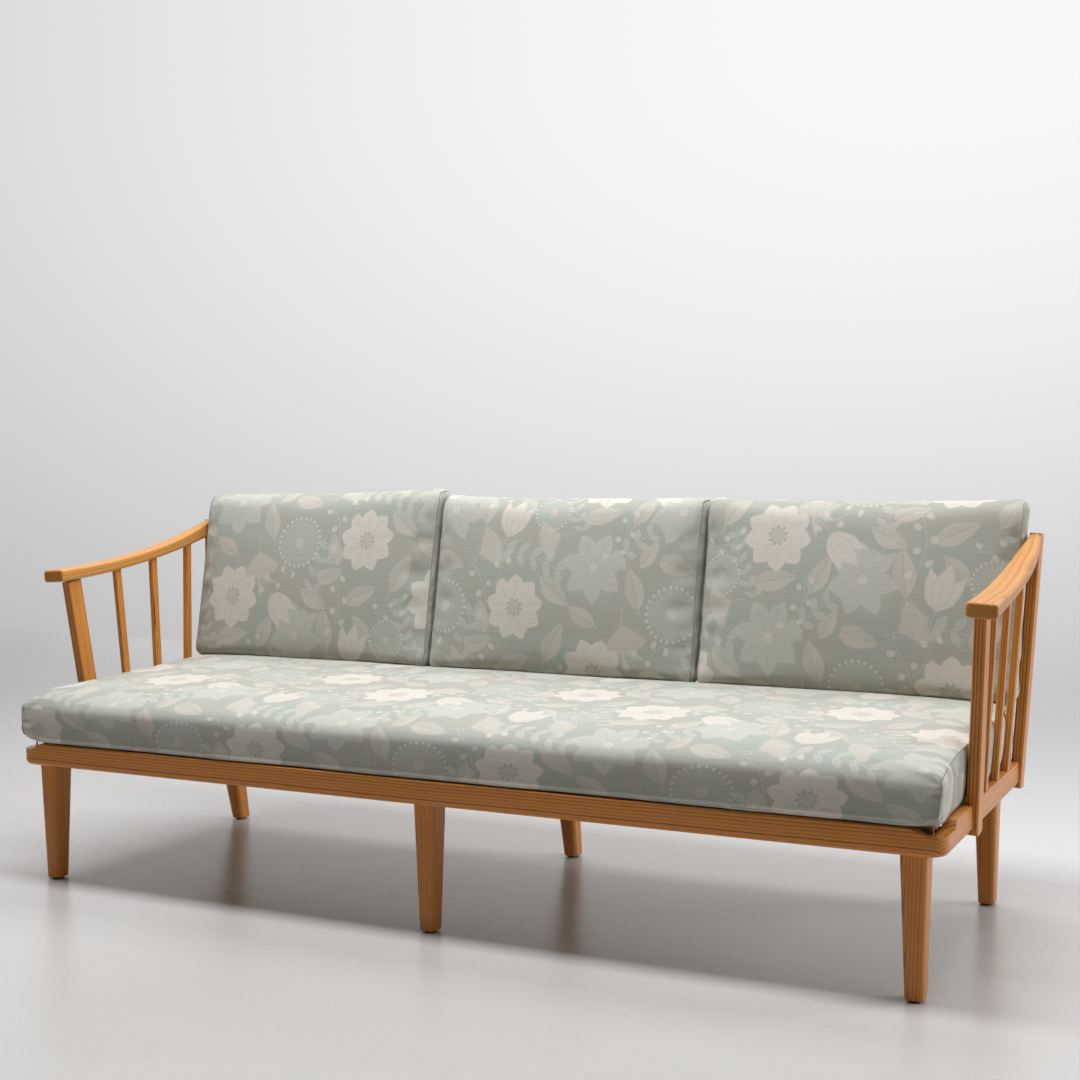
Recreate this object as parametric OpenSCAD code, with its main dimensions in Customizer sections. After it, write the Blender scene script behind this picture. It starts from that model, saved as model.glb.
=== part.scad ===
// Three-seat sofa with an open pine frame and loose cushions.
// X runs along the seat, the front looks towards -Y and Z points up.
// The origin is on the floor, under the middle of the whole outline.

/* [Seat frame] */
// Overall length of the seat frame
frame_l = 1980; // [1700:1:2300]
// Height of the underside of the rails above the floor
leg_h = 251.5; // [200:0.5:320]
// Height of the rails
rail_h = 48.5; // [44:0.5:60]
// Thickness of the rails
rail_t = 24; // [22:0.5:30]
// Outer radius of the two mitred front corners, in plan
corner_r = 34.5; // [30:0.5:60]
// Depth from the front rail's face to the end of the side rails
side_rail_l = 705; // [690:1:760]
// Depth from the front rail's face to the back rail's front face
back_rail_y = 669; // [660:1:675]
// Radius of the lower outer edge of the front and side rails
rail_belly_r = 12; // [6:0.5:16]
// Radius of the other long edges of the rails
rail_edge_r = 3; // [2:0.5:5]

/* [Scooped corners] */
// Depth of the scoop in the top edge at the front corners
scoop_h = 14; // [6:0.5:20]
// Distance from the frame's end to where the front rail starts to dip
scoop_front_l = 66; // [55:1:90]
// Length of the dip's curve along the front rail
scoop_front_run = 36; // [24:1:50]
// Distance from the front face to where the side rail is full height again
scoop_side_l = 94; // [80:1:120]
// Length of the dip's curve along the side rail
scoop_side_run = 20; // [12:1:40]

/* [Legs] */
// Width of a leg at its top
leg_top_w = 47; // [40:0.5:54]
// Depth of a leg at its top
leg_top_d = 56; // [46:0.5:62]
// Width of a leg at its foot
leg_foot_w = 33; // [26:0.5:44]
// Depth of a leg at its foot
leg_foot_d = 40; // [30:0.5:50]
// Radius of a leg's upright edges
leg_edge_r = 11; // [5:0.5:13]
// Distance of the outer legs' middles inside the frame's ends
leg_inset = 58; // [40:1:160]
// Depth of the front legs' middle behind the front rail's face
front_leg_y = 49; // [46:0.5:60]
// Depth of the rear legs' tops
rear_leg_top_y = 648; // [620:1:654]
// Depth of the rear legs' feet
rear_leg_foot_y = 694; // [640:1:720]
// How far the outer rear feet stand inside their own tops
rear_leg_tuck = 8; // [0:1:15]
// Diameter of a foot glide
glide_d = 24; // [18:1:28]
// Thickness of a foot glide
glide_h = 3; // [2:0.5:5]
// Diameter of the leg bolts
leg_bolt_d = 8; // [6:0.5:10]
// Depth of a leg bolt in its leg
leg_bolt_down = 36; // [25:1:60]
// Depth of a leg bolt in the block above it
leg_bolt_up = 24; // [18:1:28]

/* [Seat base] */
// Height of the corner blocks and of the centre rail
block_h = 30.5; // [30:0.5:33]
// Length of a corner block along the seat
block_l = 100; // [90:1:130]
// Depth of a corner block
block_d = 90; // [85:1:110]
// Width of the centre rail
centre_rail_w = 60; // [56:1:80]
// Width of the ledges that carry the slats
ledge_w = 20; // [16:1:26]
// Height of the ledges that carry the slats
ledge_h = 24; // [18:1:30]
// Number of seat slats
slat_count = 13; // [9:2:17]
// Width of a seat slat
slat_w = 60; // [40:1:80]
// Distance of the last slats' middles inside the side rails
slat_inset = 78; // [60:1:90]

/* [Arms] */
// Outward splay of the arms
arm_splay = 3.4; // [0:0.1:5]
// Distance of the arm's middle plane inside the frame's end, at the rail's top
arm_inset = 3; // [1:0.5:5]
// Depth of the front post at the rail's top
front_post_y = 236; // [220:1:250]
// Forward lean of the front post
front_post_lean = 7.6; // [0:0.1:10]
// Depth of the rear post at the rail's top
rear_post_y = 678; // [676:0.5:680]
// Backward lean of the rear post
rear_post_lean = 3.95; // [3:0.05:5]
// Thickness of the posts, across the arm
post_t = 22; // [20:0.5:24]
// Depth of the front post
front_post_d = 42; // [34:0.5:50]
// Depth of the rear post
rear_post_d = 40; // [36:0.5:44]
// Distance of the front posts' middle outside the arm's middle plane
front_post_out = 2.5; // [1:0.5:3]
// Distance of the rear posts' middle inside the arm's middle plane
rear_post_in = 1; // [0:0.5:1]
// How far the posts reach below the rails
post_drop = 6; // [2:0.5:12]
// Radius of the posts' long edges
post_edge_r = 4; // [2:0.5:6]
// Number of spindles in each arm
arm_spindles = 3; // [3:1:3]
// Depth of the first arm spindle at the rail's top
arm_spindle_y = 350; // [340:1:352]
// Distance from one arm spindle to the next at the rail's top
arm_spindle_pitch = 105.5; // [95:0.5:108]
// Backward lean of the first arm spindle
arm_spindle_lean = -2.6; // [-4:0.1:0]
// Lean that each arm spindle adds to the one before
arm_fan_step = 3.9; // [2:0.1:4.5]
// Thin side of a spindle
spindle_t = 13; // [10:0.5:14]
// Wide side of a spindle
spindle_w = 19; // [14:0.5:22]
// Distance of the arm spindles' middle inside the arm's middle plane
spindle_inset = 5.5; // [4:0.5:6]
// Depth of the mortises
mortise_d = 12; // [8:0.5:14]

/* [Armrests] */
// Depth of the armrest's front end behind the front rail's face
armrest_y = 141; // [120:1:150]
// Height of the armrest's top above the rails, at its front end
armrest_front_rise = 361; // [350:1:372]
// Height of the armrest's top above the rails, at the rear post
armrest_back_rise = 451; // [440:1:456]
// Thickness of the armrest at its front end
armrest_front_t = 27.5; // [25:0.5:32]
// Thickness of the armrest at the rear post
armrest_back_t = 38; // [34:0.5:42]
// Reach of the armrest's front end outside the arm's middle plane
armrest_out = 37; // [30:0.5:44]
// Reach of the armrest's front end inside the arm's middle plane
armrest_in = 18; // [14:0.5:22]
// Radius of the armrest's edges
armrest_edge_r = 7; // [4:0.5:9]
// Gap of the shoulder on top of the front post
shoulder_gap = 2.5; // [1:0.5:4]
// Diameter of the front post's round tenon
tenon_d = 16; // [12:0.5:18]

/* [Back frame] */
// Lean of the back frame
back_lean = 7.3; // [6.8:0.1:7.6]
// Height of the top rail's lower edge above the rails
top_rail_rise = 390; // [370:1:400]
// Height of the top rail
top_rail_h = 45; // [38:0.5:50]
// Distance that the top rail ends inside the rear posts' outer faces
top_rail_inset = 5; // [2:0.5:8]
// Number of spindles in the back
back_spindles = 15; // [9:3:18]
// Distance of the last back spindles inside the arms' middle planes
back_spindle_inset = 77; // [60:1:120]

/* [Seat cushion] */
// How much shorter the seat cushion is than the frame
seat_short = 32; // [32:1:60]
// Height of the seat cushion at its front edge
seat_front_h = 90; // [70:1:110]
// Height of the seat cushion at its back edge
seat_back_h = 106; // [80:1:120]
// Height that the seat's crown adds to its edges
seat_crown = 24; // [10:1:32]
// How far the seat cushion stands out in front of the rail
seat_proud = 6; // [0:0.5:10]
// How far the seat's front is drawn in between the corners
seat_draw = 3; // [0:0.5:5]

/* [Back cushions] */
// How much shorter the row of back cushions is than the frame
back_row_short = 18; // [18:1:60]
// Gap between two back cushions
back_cushion_gap = 3; // [1:0.5:5]
// Height of the back cushions' top above the top rail
back_cushion_rise = 83; // [50:1:105]
// Distance of the back cushions' front face in front of the back rail, where it meets the seat
back_cushion_front = 89; // [69:1:109]
// Lean of the back cushions, which rest on the top rail's upper front edge
back_cushion_lean = 11.6; // [8:0.1:13]
// Crown of the back cushions' front face
back_cushion_crown = 9; // [4:0.5:14]
// How far a cushion's ends are drawn in between the corners
back_cushion_draw = 5; // [0:0.5:8]

/* [Fit] */
// Clearance round mortises and bolts
fit = 0.15; // [0.1:0.05:0.3]
// Clearance round soft pieces
soft_fit = 0.3; // [0.2:0.05:0.5]
// Thickness of a cushion's cover with its lining
cover_t = 2.5; // [2.2:0.1:4]
// Height of a seam above the fabric round it
seam_h = 1.2; // [0.5:0.1:2]

/* [Hidden] */

honey = "#b8793a";
pale_pine = "#d8b27a";
sage = "#a9ada0";
foam_yellow = "#e6d9a8";
zinc = "#a8abb0";
glide_black = "#2a2623";

overshoot = 1;
frame_half = frame_l / 2;
rail_top = leg_h + rail_h;
arc_x = frame_half - corner_r;
side_in = frame_half - rail_t;
arm_x = frame_half - arm_inset;
leg_x = frame_half - leg_inset;

// Depth of the foremost point. Everything is drawn with y = 0 at the front rail's face
front_most = -seat_proud;

module mirrored(side) {
    if (side < 0) mirror([1, 0, 0]) children();
    else children();
}

// Outline of a rounded bar, centred, with n steps round each edge
function bar_points(w, d, r, n = 4) = [
    for (q = [0:3], k = [0:n])
        let (a = 90 * q + 90 * k / n,
             sx = (q == 0 || q == 3) ? 1 : -1,
             sy = (q < 2) ? 1 : -1)
        [sx * (w / 2 - r) + r * cos(a), sy * (d / 2 - r) + r * sin(a)]
];

// Round stretch of an outline about c, from angle a0 to a1
function arc_points(c, r, a0, a1, n = 4) = [
    for (k = [0:n]) let (a = a0 + (a1 - a0) * k / n) c + r * [cos(a), sin(a)]
];

// Number at t on a cubic curve from a to d, pulled towards b and c
function bezier(a, b, c, d, t) =
    pow(1 - t, 3) * a + 3 * pow(1 - t, 2) * t * b + 3 * (1 - t) * t * t * c + pow(t, 3) * d;

// Middle of a ring of points
function ring_middle(r) = [for (c = [0:2]) let (v = [for (p = r) p[c]]) (min(v) + max(v)) / 2];

// A closed skin over rings of equal count, each counter-clockwise about the loft's direction
module loft(rings) {
    n = len(rings[0]);
    m = len(rings);
    sides = [
        for (k = [0:m - 2], i = [0:n - 1])
            let (a = k * n + i, b = k * n + (i + 1) % n)
            each [[a, a + n, b + n], [a, b + n, b]]
    ];
    start = [for (i = [0:n - 1]) [m * n, i, (i + 1) % n]];
    end = [for (i = [0:n - 1]) [m * n + 1, (m - 1) * n + (i + 1) % n, (m - 1) * n + i]];
    points = concat([for (r = rings, p = r) p], [ring_middle(rings[0]), ring_middle(rings[m - 1])]);
    polyhedron(points, concat(sides, start, end), convexity = 6);
}

// Front and side rails. Their section lies u from the inner face and v above the floor
function rail_section() = concat(
    arc_points([rail_edge_r, leg_h + rail_edge_r], rail_edge_r, 180, 270),
    arc_points([rail_t - rail_belly_r, leg_h + rail_belly_r], rail_belly_r, 270, 360, 6),
    arc_points([rail_t - rail_edge_r, rail_top - rail_edge_r], rail_edge_r, 0, 90),
    arc_points([rail_edge_r, rail_top - rail_edge_r], rail_edge_r, 90, 180)
);

// Half of a front corner, from the front rail's end to the mitre
module rail_bend() {
    rotate([0, 0, -90]) rotate_extrude(angle = 45, $fn = 96)
        translate([corner_r - rail_t, 0]) polygon(rail_section());
}

module front_rail_blank() {
    translate([-arc_x, rail_t, 0]) rotate([90, 0, 90]) linear_extrude(2 * arc_x)
        mirror([1, 0]) polygon(rail_section());
    for (side = [-1, 1]) mirrored(side) translate([arc_x, corner_r, 0]) rail_bend();
}

module side_rail_blank() {
    translate([arc_x, corner_r, 0]) mirror([1, 1, 0]) rail_bend();
    translate([side_in, side_rail_l, 0]) rotate([90, 0, 0])
        linear_extrude(side_rail_l - corner_r) polygon(rail_section());
}

// Room above the scoop: flat at first, then an S-curve up to the rail's top
function dip_points(flat, run) = concat(
    [[-overshoot, rail_top + overshoot], [-overshoot, rail_top - scoop_h]],
    [for (k = [0:10]) let (t = k / 10)
        [flat + run * t, rail_top - scoop_h * (1 + cos(180 * t)) / 2]],
    [[flat + run, rail_top + overshoot]]
);

module front_scoop() {
    translate([frame_half, corner_r, 0]) rotate([90, 0, 0]) linear_extrude(corner_r + overshoot)
        mirror([1, 0]) polygon(dip_points(scoop_front_l - scoop_front_run, scoop_front_run));
}

module side_scoop() {
    translate([side_in - overshoot, 0, 0]) rotate([90, 0, 90]) linear_extrude(rail_t + 2 * overshoot)
        polygon(dip_points(scoop_side_l - scoop_side_run, scoop_side_run));
}

module front_rail() {
    color(honey) in_place() difference() {
        front_rail_blank();
        for (side = [-1, 1]) mirrored(side) front_scoop();
        centre_rail_dowels(dowel_d + 2 * fit);
    }
}

module side_rail() {
    difference() {
        side_rail_blank();
        side_scoop();
        for (i = [0:arm_spindles - 1]) arm_spindle_bar(i, fit);
        back_rail_dowels(dowel_d + 2 * fit);
        post_screw_pair(2 * fit);
    }
}

module left_side_rail() {
    color(honey) in_place() mirror([1, 0, 0]) side_rail();
}

module right_side_rail() {
    color(honey) in_place() side_rail();
}

module back_rail() {
    color(honey) in_place() difference() {
        translate([-side_in, back_rail_y, leg_h]) rotate([90, 0, 90]) linear_extrude(2 * side_in)
            translate([rail_t / 2, rail_h / 2]) polygon(bar_points(rail_t, rail_h, rail_edge_r));
        for (i = [0:back_spindles - 1]) back_spindle_bar(i, fit);
        for (side = [-1, 1]) mirrored(side) back_rail_dowels(dowel_d + 2 * fit);
        centre_rail_dowels(dowel_d + 2 * fit);
    }
}

// Dowels. The back rail's run through the side rails and on into the rear posts
dowel_d = 10;
back_dowel_l = 50;
post_bite = 3;
centre_dowel_l = 36;
centre_dowel_x = 15;
arm_dowel_l = 30;

module back_rail_dowels(d) {
    for (share = [0.28, 0.72])
        translate([frame_half + post_bite - back_dowel_l, back_rail_y + rail_t / 2, leg_h + share * rail_h])
            rotate([0, 90, 0]) cylinder(d = d, h = back_dowel_l, $fn = 32);
}

module centre_rail_dowels(d) {
    for (x = [-centre_dowel_x, centre_dowel_x], y = [rail_t, back_rail_y])
        translate([x, y - centre_dowel_l / 2, leg_h + block_h / 2]) rotate([-90, 0, 0])
            cylinder(d = d, h = centre_dowel_l, $fn = 32);
}

module rail_dowels() {
    color(pale_pine) in_place() {
        for (side = [-1, 1]) mirrored(side) back_rail_dowels(dowel_d);
        centre_rail_dowels(dowel_d);
    }
}

// Dowel between the armrest's end and the rear post, square to the post
module arm_dowel(d) {
    rear_post_frame()
        translate([0, -(rear_post_d + arm_dowel_l) / 2, rear_post_high - armrest_back_t / 2])
            rotate([-90, 0, 0]) cylinder(d = d, h = arm_dowel_l, $fn = 32);
}

module arm_dowels() {
    color(pale_pine) in_place() for (side = [-1, 1]) mirrored(side) arm_dowel(dowel_d);
}

// Seat base
bolt_bore = leg_bolt_d + 2 * fit;
rear_block_y = back_rail_y - block_d;

// Bolt, or its bore, between a leg and the block above it
module leg_bolt(x, y, d) {
    translate([x, y, leg_h - leg_bolt_down]) cylinder(d = d, h = leg_bolt_down + leg_bolt_up, $fn = 32);
}

// Corner block, with its outer front edge rounded by r
module corner_block(y, leg_y, r) {
    difference() {
        translate([side_in - block_l, y, leg_h]) linear_extrude(block_h)
            polygon(concat(
                [[0, 0]], arc_points([block_l - r, r], r, 270, 360), [[block_l, block_d], [0, block_d]]));
        leg_bolt(leg_x, leg_y, bolt_bore);
        slat_screw_places() slat_screw(2 * fit);
    }
}

module front_left_block() {
    color(pale_pine) in_place() mirror([1, 0, 0]) corner_block(rail_t, front_leg_y, corner_r - rail_t);
}

module front_right_block() {
    color(pale_pine) in_place() corner_block(rail_t, front_leg_y, corner_r - rail_t);
}

module rear_left_block() {
    color(pale_pine) in_place() mirror([1, 0, 0]) corner_block(rear_block_y, rear_leg_top_y, rail_edge_r);
}

module rear_right_block() {
    color(pale_pine) in_place() corner_block(rear_block_y, rear_leg_top_y, rail_edge_r);
}

module centre_rail() {
    color(pale_pine) in_place() difference() {
        translate([-centre_rail_w / 2, rail_t, leg_h]) cube([centre_rail_w, back_rail_y - rail_t, block_h]);
        for (y = [front_leg_y, rear_leg_top_y]) leg_bolt(0, y, bolt_bore);
        centre_rail_dowels(dowel_d + 2 * fit);
        slat_screw_places() slat_screw(2 * fit);
    }
}

// Ledge between the centre rail and a corner block, glued to the rail behind it
module ledge(y) {
    ledge_x = centre_rail_w / 2;
    difference() {
        translate([ledge_x, y, slat_z - ledge_h]) cube([side_in - block_l - ledge_x, ledge_w, ledge_h]);
        slat_screw_places() slat_screw(2 * fit);
    }
}

module front_left_ledge() {
    color(pale_pine) in_place() mirror([1, 0, 0]) ledge(rail_t);
}

module front_right_ledge() {
    color(pale_pine) in_place() ledge(rail_t);
}

module rear_left_ledge() {
    color(pale_pine) in_place() mirror([1, 0, 0]) ledge(back_rail_y - ledge_w);
}

module rear_right_ledge() {
    color(pale_pine) in_place() ledge(back_rail_y - ledge_w);
}

// Slats: their tops lie level with the rails
slat_z = leg_h + block_h;
slat_t = rail_h - block_h;
slat_l = back_rail_y - rail_t - 2 * soft_fit;
slat_half = floor(slat_count / 2);
slat_xs = [for (i = [-slat_half:slat_half]) i * (side_in - slat_inset) / slat_half];

slat_screw_d = 4;
slat_screw_l = 32;
screw_head_d = 8;
screw_head_h = 3;

// Countersunk screw, or its bore, pointing down from its head's face
module screw(d, l, extra) {
    translate([0, 0, -l]) cylinder(d = d + extra, h = l, $fn = 24);
    translate([0, 0, -screw_head_h])
        cylinder(d1 = d + extra, d2 = screw_head_d + extra, h = screw_head_h, $fn = 24);
}

module slat_screw(extra) {
    screw(slat_screw_d, slat_screw_l, extra);
}

module slat_screw_places() {
    for (x = slat_xs, y = [rail_t + ledge_w / 2, back_rail_y - ledge_w / 2])
        translate([x, y, rail_top]) children();
}

module slat_screws() {
    color(zinc) in_place() slat_screw_places() slat_screw(0);
}

module slats(xs) {
    color(pale_pine) in_place() difference() {
        for (x = xs)
            translate([x - slat_w / 2, rail_t + soft_fit, slat_z]) cube([slat_w, slat_l, slat_t]);
        slat_screw_places() slat_screw(2 * fit);
    }
}

module left_seat_slats() {
    slats([for (i = [0:slat_half - 1]) slat_xs[i]]);
}

module right_seat_slats() {
    slats([for (i = [slat_half:len(slat_xs) - 1]) slat_xs[i]]);
}

// Legs
leg_foot_round = 3;
rear_leg_run = rear_leg_foot_y - rear_leg_top_y;

// Ring of a leg at height z. Its top is at x, y, its foot is run away, and e pulls it in
function leg_ring(x, y, run, z, e) =
    let (t = (z - glide_h) / (leg_h - glide_h),
         w = leg_foot_w + (leg_top_w - leg_foot_w) * t - 2 * e,
         d = leg_foot_d + (leg_top_d - leg_foot_d) * t - 2 * e)
    [for (p = bar_points(w, d, leg_edge_r - e, 5))
        [x + run[0] * (1 - t) + p[0], y + run[1] * (1 - t) + p[1], z]];

module leg(x, y, run = [0, 0]) {
    foot = [for (a = [90, 45, 0])
        leg_ring(x, y, run, glide_h + leg_foot_round * (1 - sin(a)), leg_foot_round * (1 - cos(a)))];
    color(honey) in_place() difference() {
        loft(concat(foot, [leg_ring(x, y, run, leg_h, 0)]));
        leg_bolt(x, y, bolt_bore);
    }
}

module front_left_leg() {
    leg(-leg_x, front_leg_y);
}

module front_centre_leg() {
    leg(0, front_leg_y);
}

module front_right_leg() {
    leg(leg_x, front_leg_y);
}

module rear_left_leg() {
    leg(-leg_x, rear_leg_top_y, [rear_leg_tuck, rear_leg_run]);
}

module rear_centre_leg() {
    leg(0, rear_leg_top_y, [0, rear_leg_run]);
}

module rear_right_leg() {
    leg(leg_x, rear_leg_top_y, [-rear_leg_tuck, rear_leg_run]);
}

module foot_glides() {
    color(glide_black) in_place() for (side = [-1, 0, 1]) {
        translate([side * leg_x, front_leg_y, 0]) cylinder(d = glide_d, h = glide_h, $fn = 48);
        translate([side * (leg_x - rear_leg_tuck), rear_leg_foot_y, 0])
            cylinder(d = glide_d, h = glide_h, $fn = 48);
    }
}

module leg_bolts() {
    color(zinc) in_place() for (x = [-leg_x, 0, leg_x], y = [front_leg_y, rear_leg_top_y])
        leg_bolt(x, y, leg_bolt_d);
}

// Arms. Each is drawn upright in its own plane, then splayed out about the rail's top

module splayed() {
    translate([arm_x, 0, rail_top]) rotate([0, arm_splay, 0]) children();
}

// Frame of a member of the arm that leans back about the rail's top
module leaning(x, y, lean) {
    splayed() translate([x, y, 0]) rotate([-lean, 0, 0]) children();
}

module front_post_frame() {
    leaning(front_post_out, front_post_y, -front_post_lean) children();
}

module rear_post_frame() {
    leaning(-rear_post_in, rear_post_y, rear_post_lean) children();
}

// Armrest: side view and plan as curves along t, from its front end to the rear post
armrest_end_y = rear_post_y + armrest_back_rise * tan(rear_post_lean) - rear_post_d / 2;
armrest_l = armrest_end_y - armrest_y;
armrest_rise = armrest_back_rise - armrest_front_rise;
armrest_swell = armrest_back_t - armrest_front_t;
armrest_rings = 22;
armrest_nose_r = 5;

function arm_y(t) = armrest_y + armrest_l * bezier(0, 0.345, 0.7, 1, t);
function arm_top(t) = armrest_front_rise + armrest_rise * bezier(0, 0.07, 0.33, 1, t);
function arm_low(t) = armrest_front_rise - armrest_front_t
    + (armrest_rise - armrest_swell) * bezier(0, 0.09, 0.49, 1, t);
function arm_out(t) =
    bezier(armrest_out, 0.65 * armrest_out, 0.9 * armrest_out, post_t / 2 - rear_post_in, t);
function arm_in(t) =
    -bezier(armrest_in, 1.1 * armrest_in, 1.45 * armrest_in, post_t / 2 + rear_post_in, t);

// Height of the armrest's underside over the rail's top at a depth y
function underside(y) =
    lookup(y, [for (k = [0:armrest_rings]) let (t = k / armrest_rings) [arm_y(t), arm_low(t)]]);

// Ring of the armrest at t, set at depth y and pulled in by e
function arm_ring(t, y, e) =
    let (x0 = arm_in(t) + e, x1 = arm_out(t) - e, z0 = arm_low(t) + e, z1 = arm_top(t) - e,
         r = armrest_edge_r - e / 2)
    [for (p = bar_points(x1 - x0, z1 - z0, r)) [(x0 + x1) / 2 - p[0], y, (z0 + z1) / 2 + p[1]]];

function armrest_skin() = concat(
    [for (a = [90, 67.5, 45, 22.5])
        arm_ring(0, armrest_y + armrest_nose_r * (1 - sin(a)), armrest_nose_r * (1 - cos(a)))],
    [for (k = [0:armrest_rings]) let (t = k / armrest_rings)
        arm_ring(t, max(arm_y(t), armrest_y + armrest_nose_r), 0)],
    [arm_ring(1, armrest_end_y + rear_post_d, 0)]
);

module armrest() {
    difference() {
        splayed() loft(armrest_skin());
        rear_post_frame() translate([-armrest_out * 2, -rear_post_d / 2, 0])
            cube([armrest_out * 4, rear_post_d * 3, rear_post_high * 2]);
        for (i = [0:arm_spindles - 1]) arm_spindle_bar(i, fit);
        front_tenon(tenon_d + 2 * fit, fit);
        arm_dowel(dowel_d + 2 * fit);
    }
}

module left_armrest() {
    color(honey) in_place() mirror([1, 0, 0]) armrest();
}

module right_armrest() {
    color(honey) in_place() armrest();
}

// Posts. Each stands on the side rail and laps over its outer face, scribed round its belly
post_lap_r = 8;
rear_post_crown_r = 14;
front_post_top_z = underside(front_post_y - underside(front_post_y) * tan(front_post_lean)) - shoulder_gap;
front_post_high = front_post_top_z / cos(front_post_lean);
rear_post_high = armrest_back_rise / cos(rear_post_lean);
tenon_l = mortise_d + shoulder_gap;

// Side view of a post of depth d, with its lap's end rounded and its rear top rounded by crown_r
function post_outline(d, high, crown_r) = concat(
    arc_points([-d / 2 + post_lap_r, -rail_h - post_drop + post_lap_r], post_lap_r, 180, 270),
    arc_points([d / 2 - post_lap_r, -rail_h - post_drop + post_lap_r], post_lap_r, 270, 360),
    arc_points([d / 2 - crown_r, high - crown_r], crown_r, 0, 90),
    [[-d / 2, high]]
);

module post_blank(d, high, crown_r) {
    intersection() {
        translate([0, 0, -rail_h - post_drop - overshoot])
            linear_extrude(rail_h + post_drop + high + 2 * overshoot)
                polygon(bar_points(post_t, d, post_edge_r));
        translate([-post_t, 0, 0]) rotate([90, 0, 90]) linear_extrude(2 * post_t)
            polygon(post_outline(d, high, crown_r));
    }
}

// The side rail, and everything below it as far out as its belly begins
module rail_for_scribing() {
    side_rail_blank();
    translate([side_in - rail_t, 0, 0])
        cube([2 * rail_t - rail_belly_r, side_rail_l + rear_post_d, leg_h + rail_edge_r]);
    translate([side_in - rail_t, 0, 0]) cube([rail_t, side_rail_l + rear_post_d, rail_top]);
    translate([side_in - overshoot, side_rail_l - overshoot, leg_h])
        cube([rail_t + overshoot, rear_post_d, rail_h]);
}

module front_tenon(d, extra) {
    front_post_frame() translate([0, 0, front_post_high - overshoot])
        cylinder(d = d, h = tenon_l + overshoot + extra, $fn = 48);
}

module front_post() {
    difference() {
        front_post_frame() post_blank(front_post_d, front_post_high, 2);
        rail_for_scribing();
        post_screw_pair(2 * fit);
    }
    front_tenon(tenon_d, 0);
}

module rear_post() {
    difference() {
        rear_post_frame() post_blank(rear_post_d, rear_post_high, rear_post_crown_r);
        rail_for_scribing();
        back_rail_dowels(dowel_d + 2 * fit);
        arm_dowel(dowel_d + 2 * fit);
        top_rail_screw_pair(2 * fit);
    }
}

module front_left_post() {
    color(honey) in_place() mirror([1, 0, 0]) front_post();
}

module front_right_post() {
    color(honey) in_place() front_post();
}

module rear_left_post() {
    color(honey) in_place() mirror([1, 0, 0]) rear_post();
}

module rear_right_post() {
    color(honey) in_place() rear_post();
}

// Screws from the side rail's inner face into the front post's lap
post_screw_d = 4;
post_screw_bite = 4;

module post_screw_pair(extra) {
    for (share = [0.3, 0.7])
        translate([side_in, front_post_y, leg_h + share * rail_h]) rotate([0, -90, 0])
            screw(post_screw_d, rail_t + post_screw_bite, extra);
}

module post_screws() {
    color(zinc) in_place() for (side = [-1, 1]) mirrored(side) post_screw_pair(0);
}

// Spindles of the arm: they lean forward at the front and fan out towards the back
function spindle_y(i) = arm_spindle_y + arm_spindle_pitch * i;
function spindle_lean(i) = arm_spindle_lean + arm_fan_step * i;
function spindle_high(i) =
    underside(spindle_y(i) + underside(spindle_y(i)) * tan(spindle_lean(i))) / cos(spindle_lean(i));

module arm_spindle_bar(i, extra) {
    leaning(-spindle_inset, spindle_y(i), spindle_lean(i)) translate([0, 0, -mortise_d - extra])
        linear_extrude(spindle_high(i) + 2 * (mortise_d + extra))
            polygon(bar_points(spindle_t + 2 * extra, spindle_w + 2 * extra, spindle_edge_r, 3));
}

spindle_edge_r = 2.5;

module arm_spindle(side, i) {
    color(honey) in_place() mirrored(side) arm_spindle_bar(i, 0);
}

module left_arm_spindle_1() {
    arm_spindle(-1, 0);
}

module left_arm_spindle_2() {
    arm_spindle(-1, 1);
}

module left_arm_spindle_3() {
    arm_spindle(-1, 2);
}

module right_arm_spindle_1() {
    arm_spindle(1, 0);
}

module right_arm_spindle_2() {
    arm_spindle(1, 1);
}

module right_arm_spindle_3() {
    arm_spindle(1, 2);
}

// Back frame: drawn upright over the back rail's middle, then leant back about the rail's top
top_rail_low = top_rail_rise / cos(back_lean);
top_rail_half_l = arm_x + top_rail_rise * tan(arm_splay) - rear_post_in + post_t / 2 - top_rail_inset;

module back_frame() {
    translate([0, back_rail_y + rail_t / 2, rail_top]) rotate([-back_lean, 0, 0]) children();
}

module back_spindle_bar(i, extra) {
    place = 2 * i / (back_spindles - 1) - 1;
    back_frame() translate([place * (arm_x - back_spindle_inset), 0, -mortise_d - extra])
        linear_extrude(top_rail_low + 2 * (mortise_d + extra))
            polygon(bar_points(spindle_w + 2 * extra, spindle_t + 2 * extra, spindle_edge_r, 3));
}

module back_spindle_group(third) {
    count = back_spindles / 3;
    color(honey) in_place() for (i = [third * count:(third + 1) * count - 1]) back_spindle_bar(i, 0);
}

module left_back_spindles() {
    back_spindle_group(0);
}

module centre_back_spindles() {
    back_spindle_group(1);
}

module right_back_spindles() {
    back_spindle_group(2);
}

// The top rail is housed over the rear posts' back faces
module top_rail() {
    color(honey) in_place() difference() {
        back_frame() translate([-top_rail_half_l, 0, top_rail_low + top_rail_h / 2]) rotate([90, 0, 90])
            linear_extrude(2 * top_rail_half_l) polygon(bar_points(rail_t, top_rail_h, rail_edge_r));
        for (side = [-1, 1]) mirrored(side) {
            rear_post_frame() translate([-post_t / 2, -rear_post_d / 2, 0])
                cube([post_t, rear_post_d, rear_post_high + rail_t]);
            top_rail_screw_pair(2 * fit);
        }
        for (i = [0:back_spindles - 1]) back_spindle_bar(i, fit);
    }
}

// Screws from behind through the top rail into the rear posts
top_screw_l = 36;
top_screw_in = 8;

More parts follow.
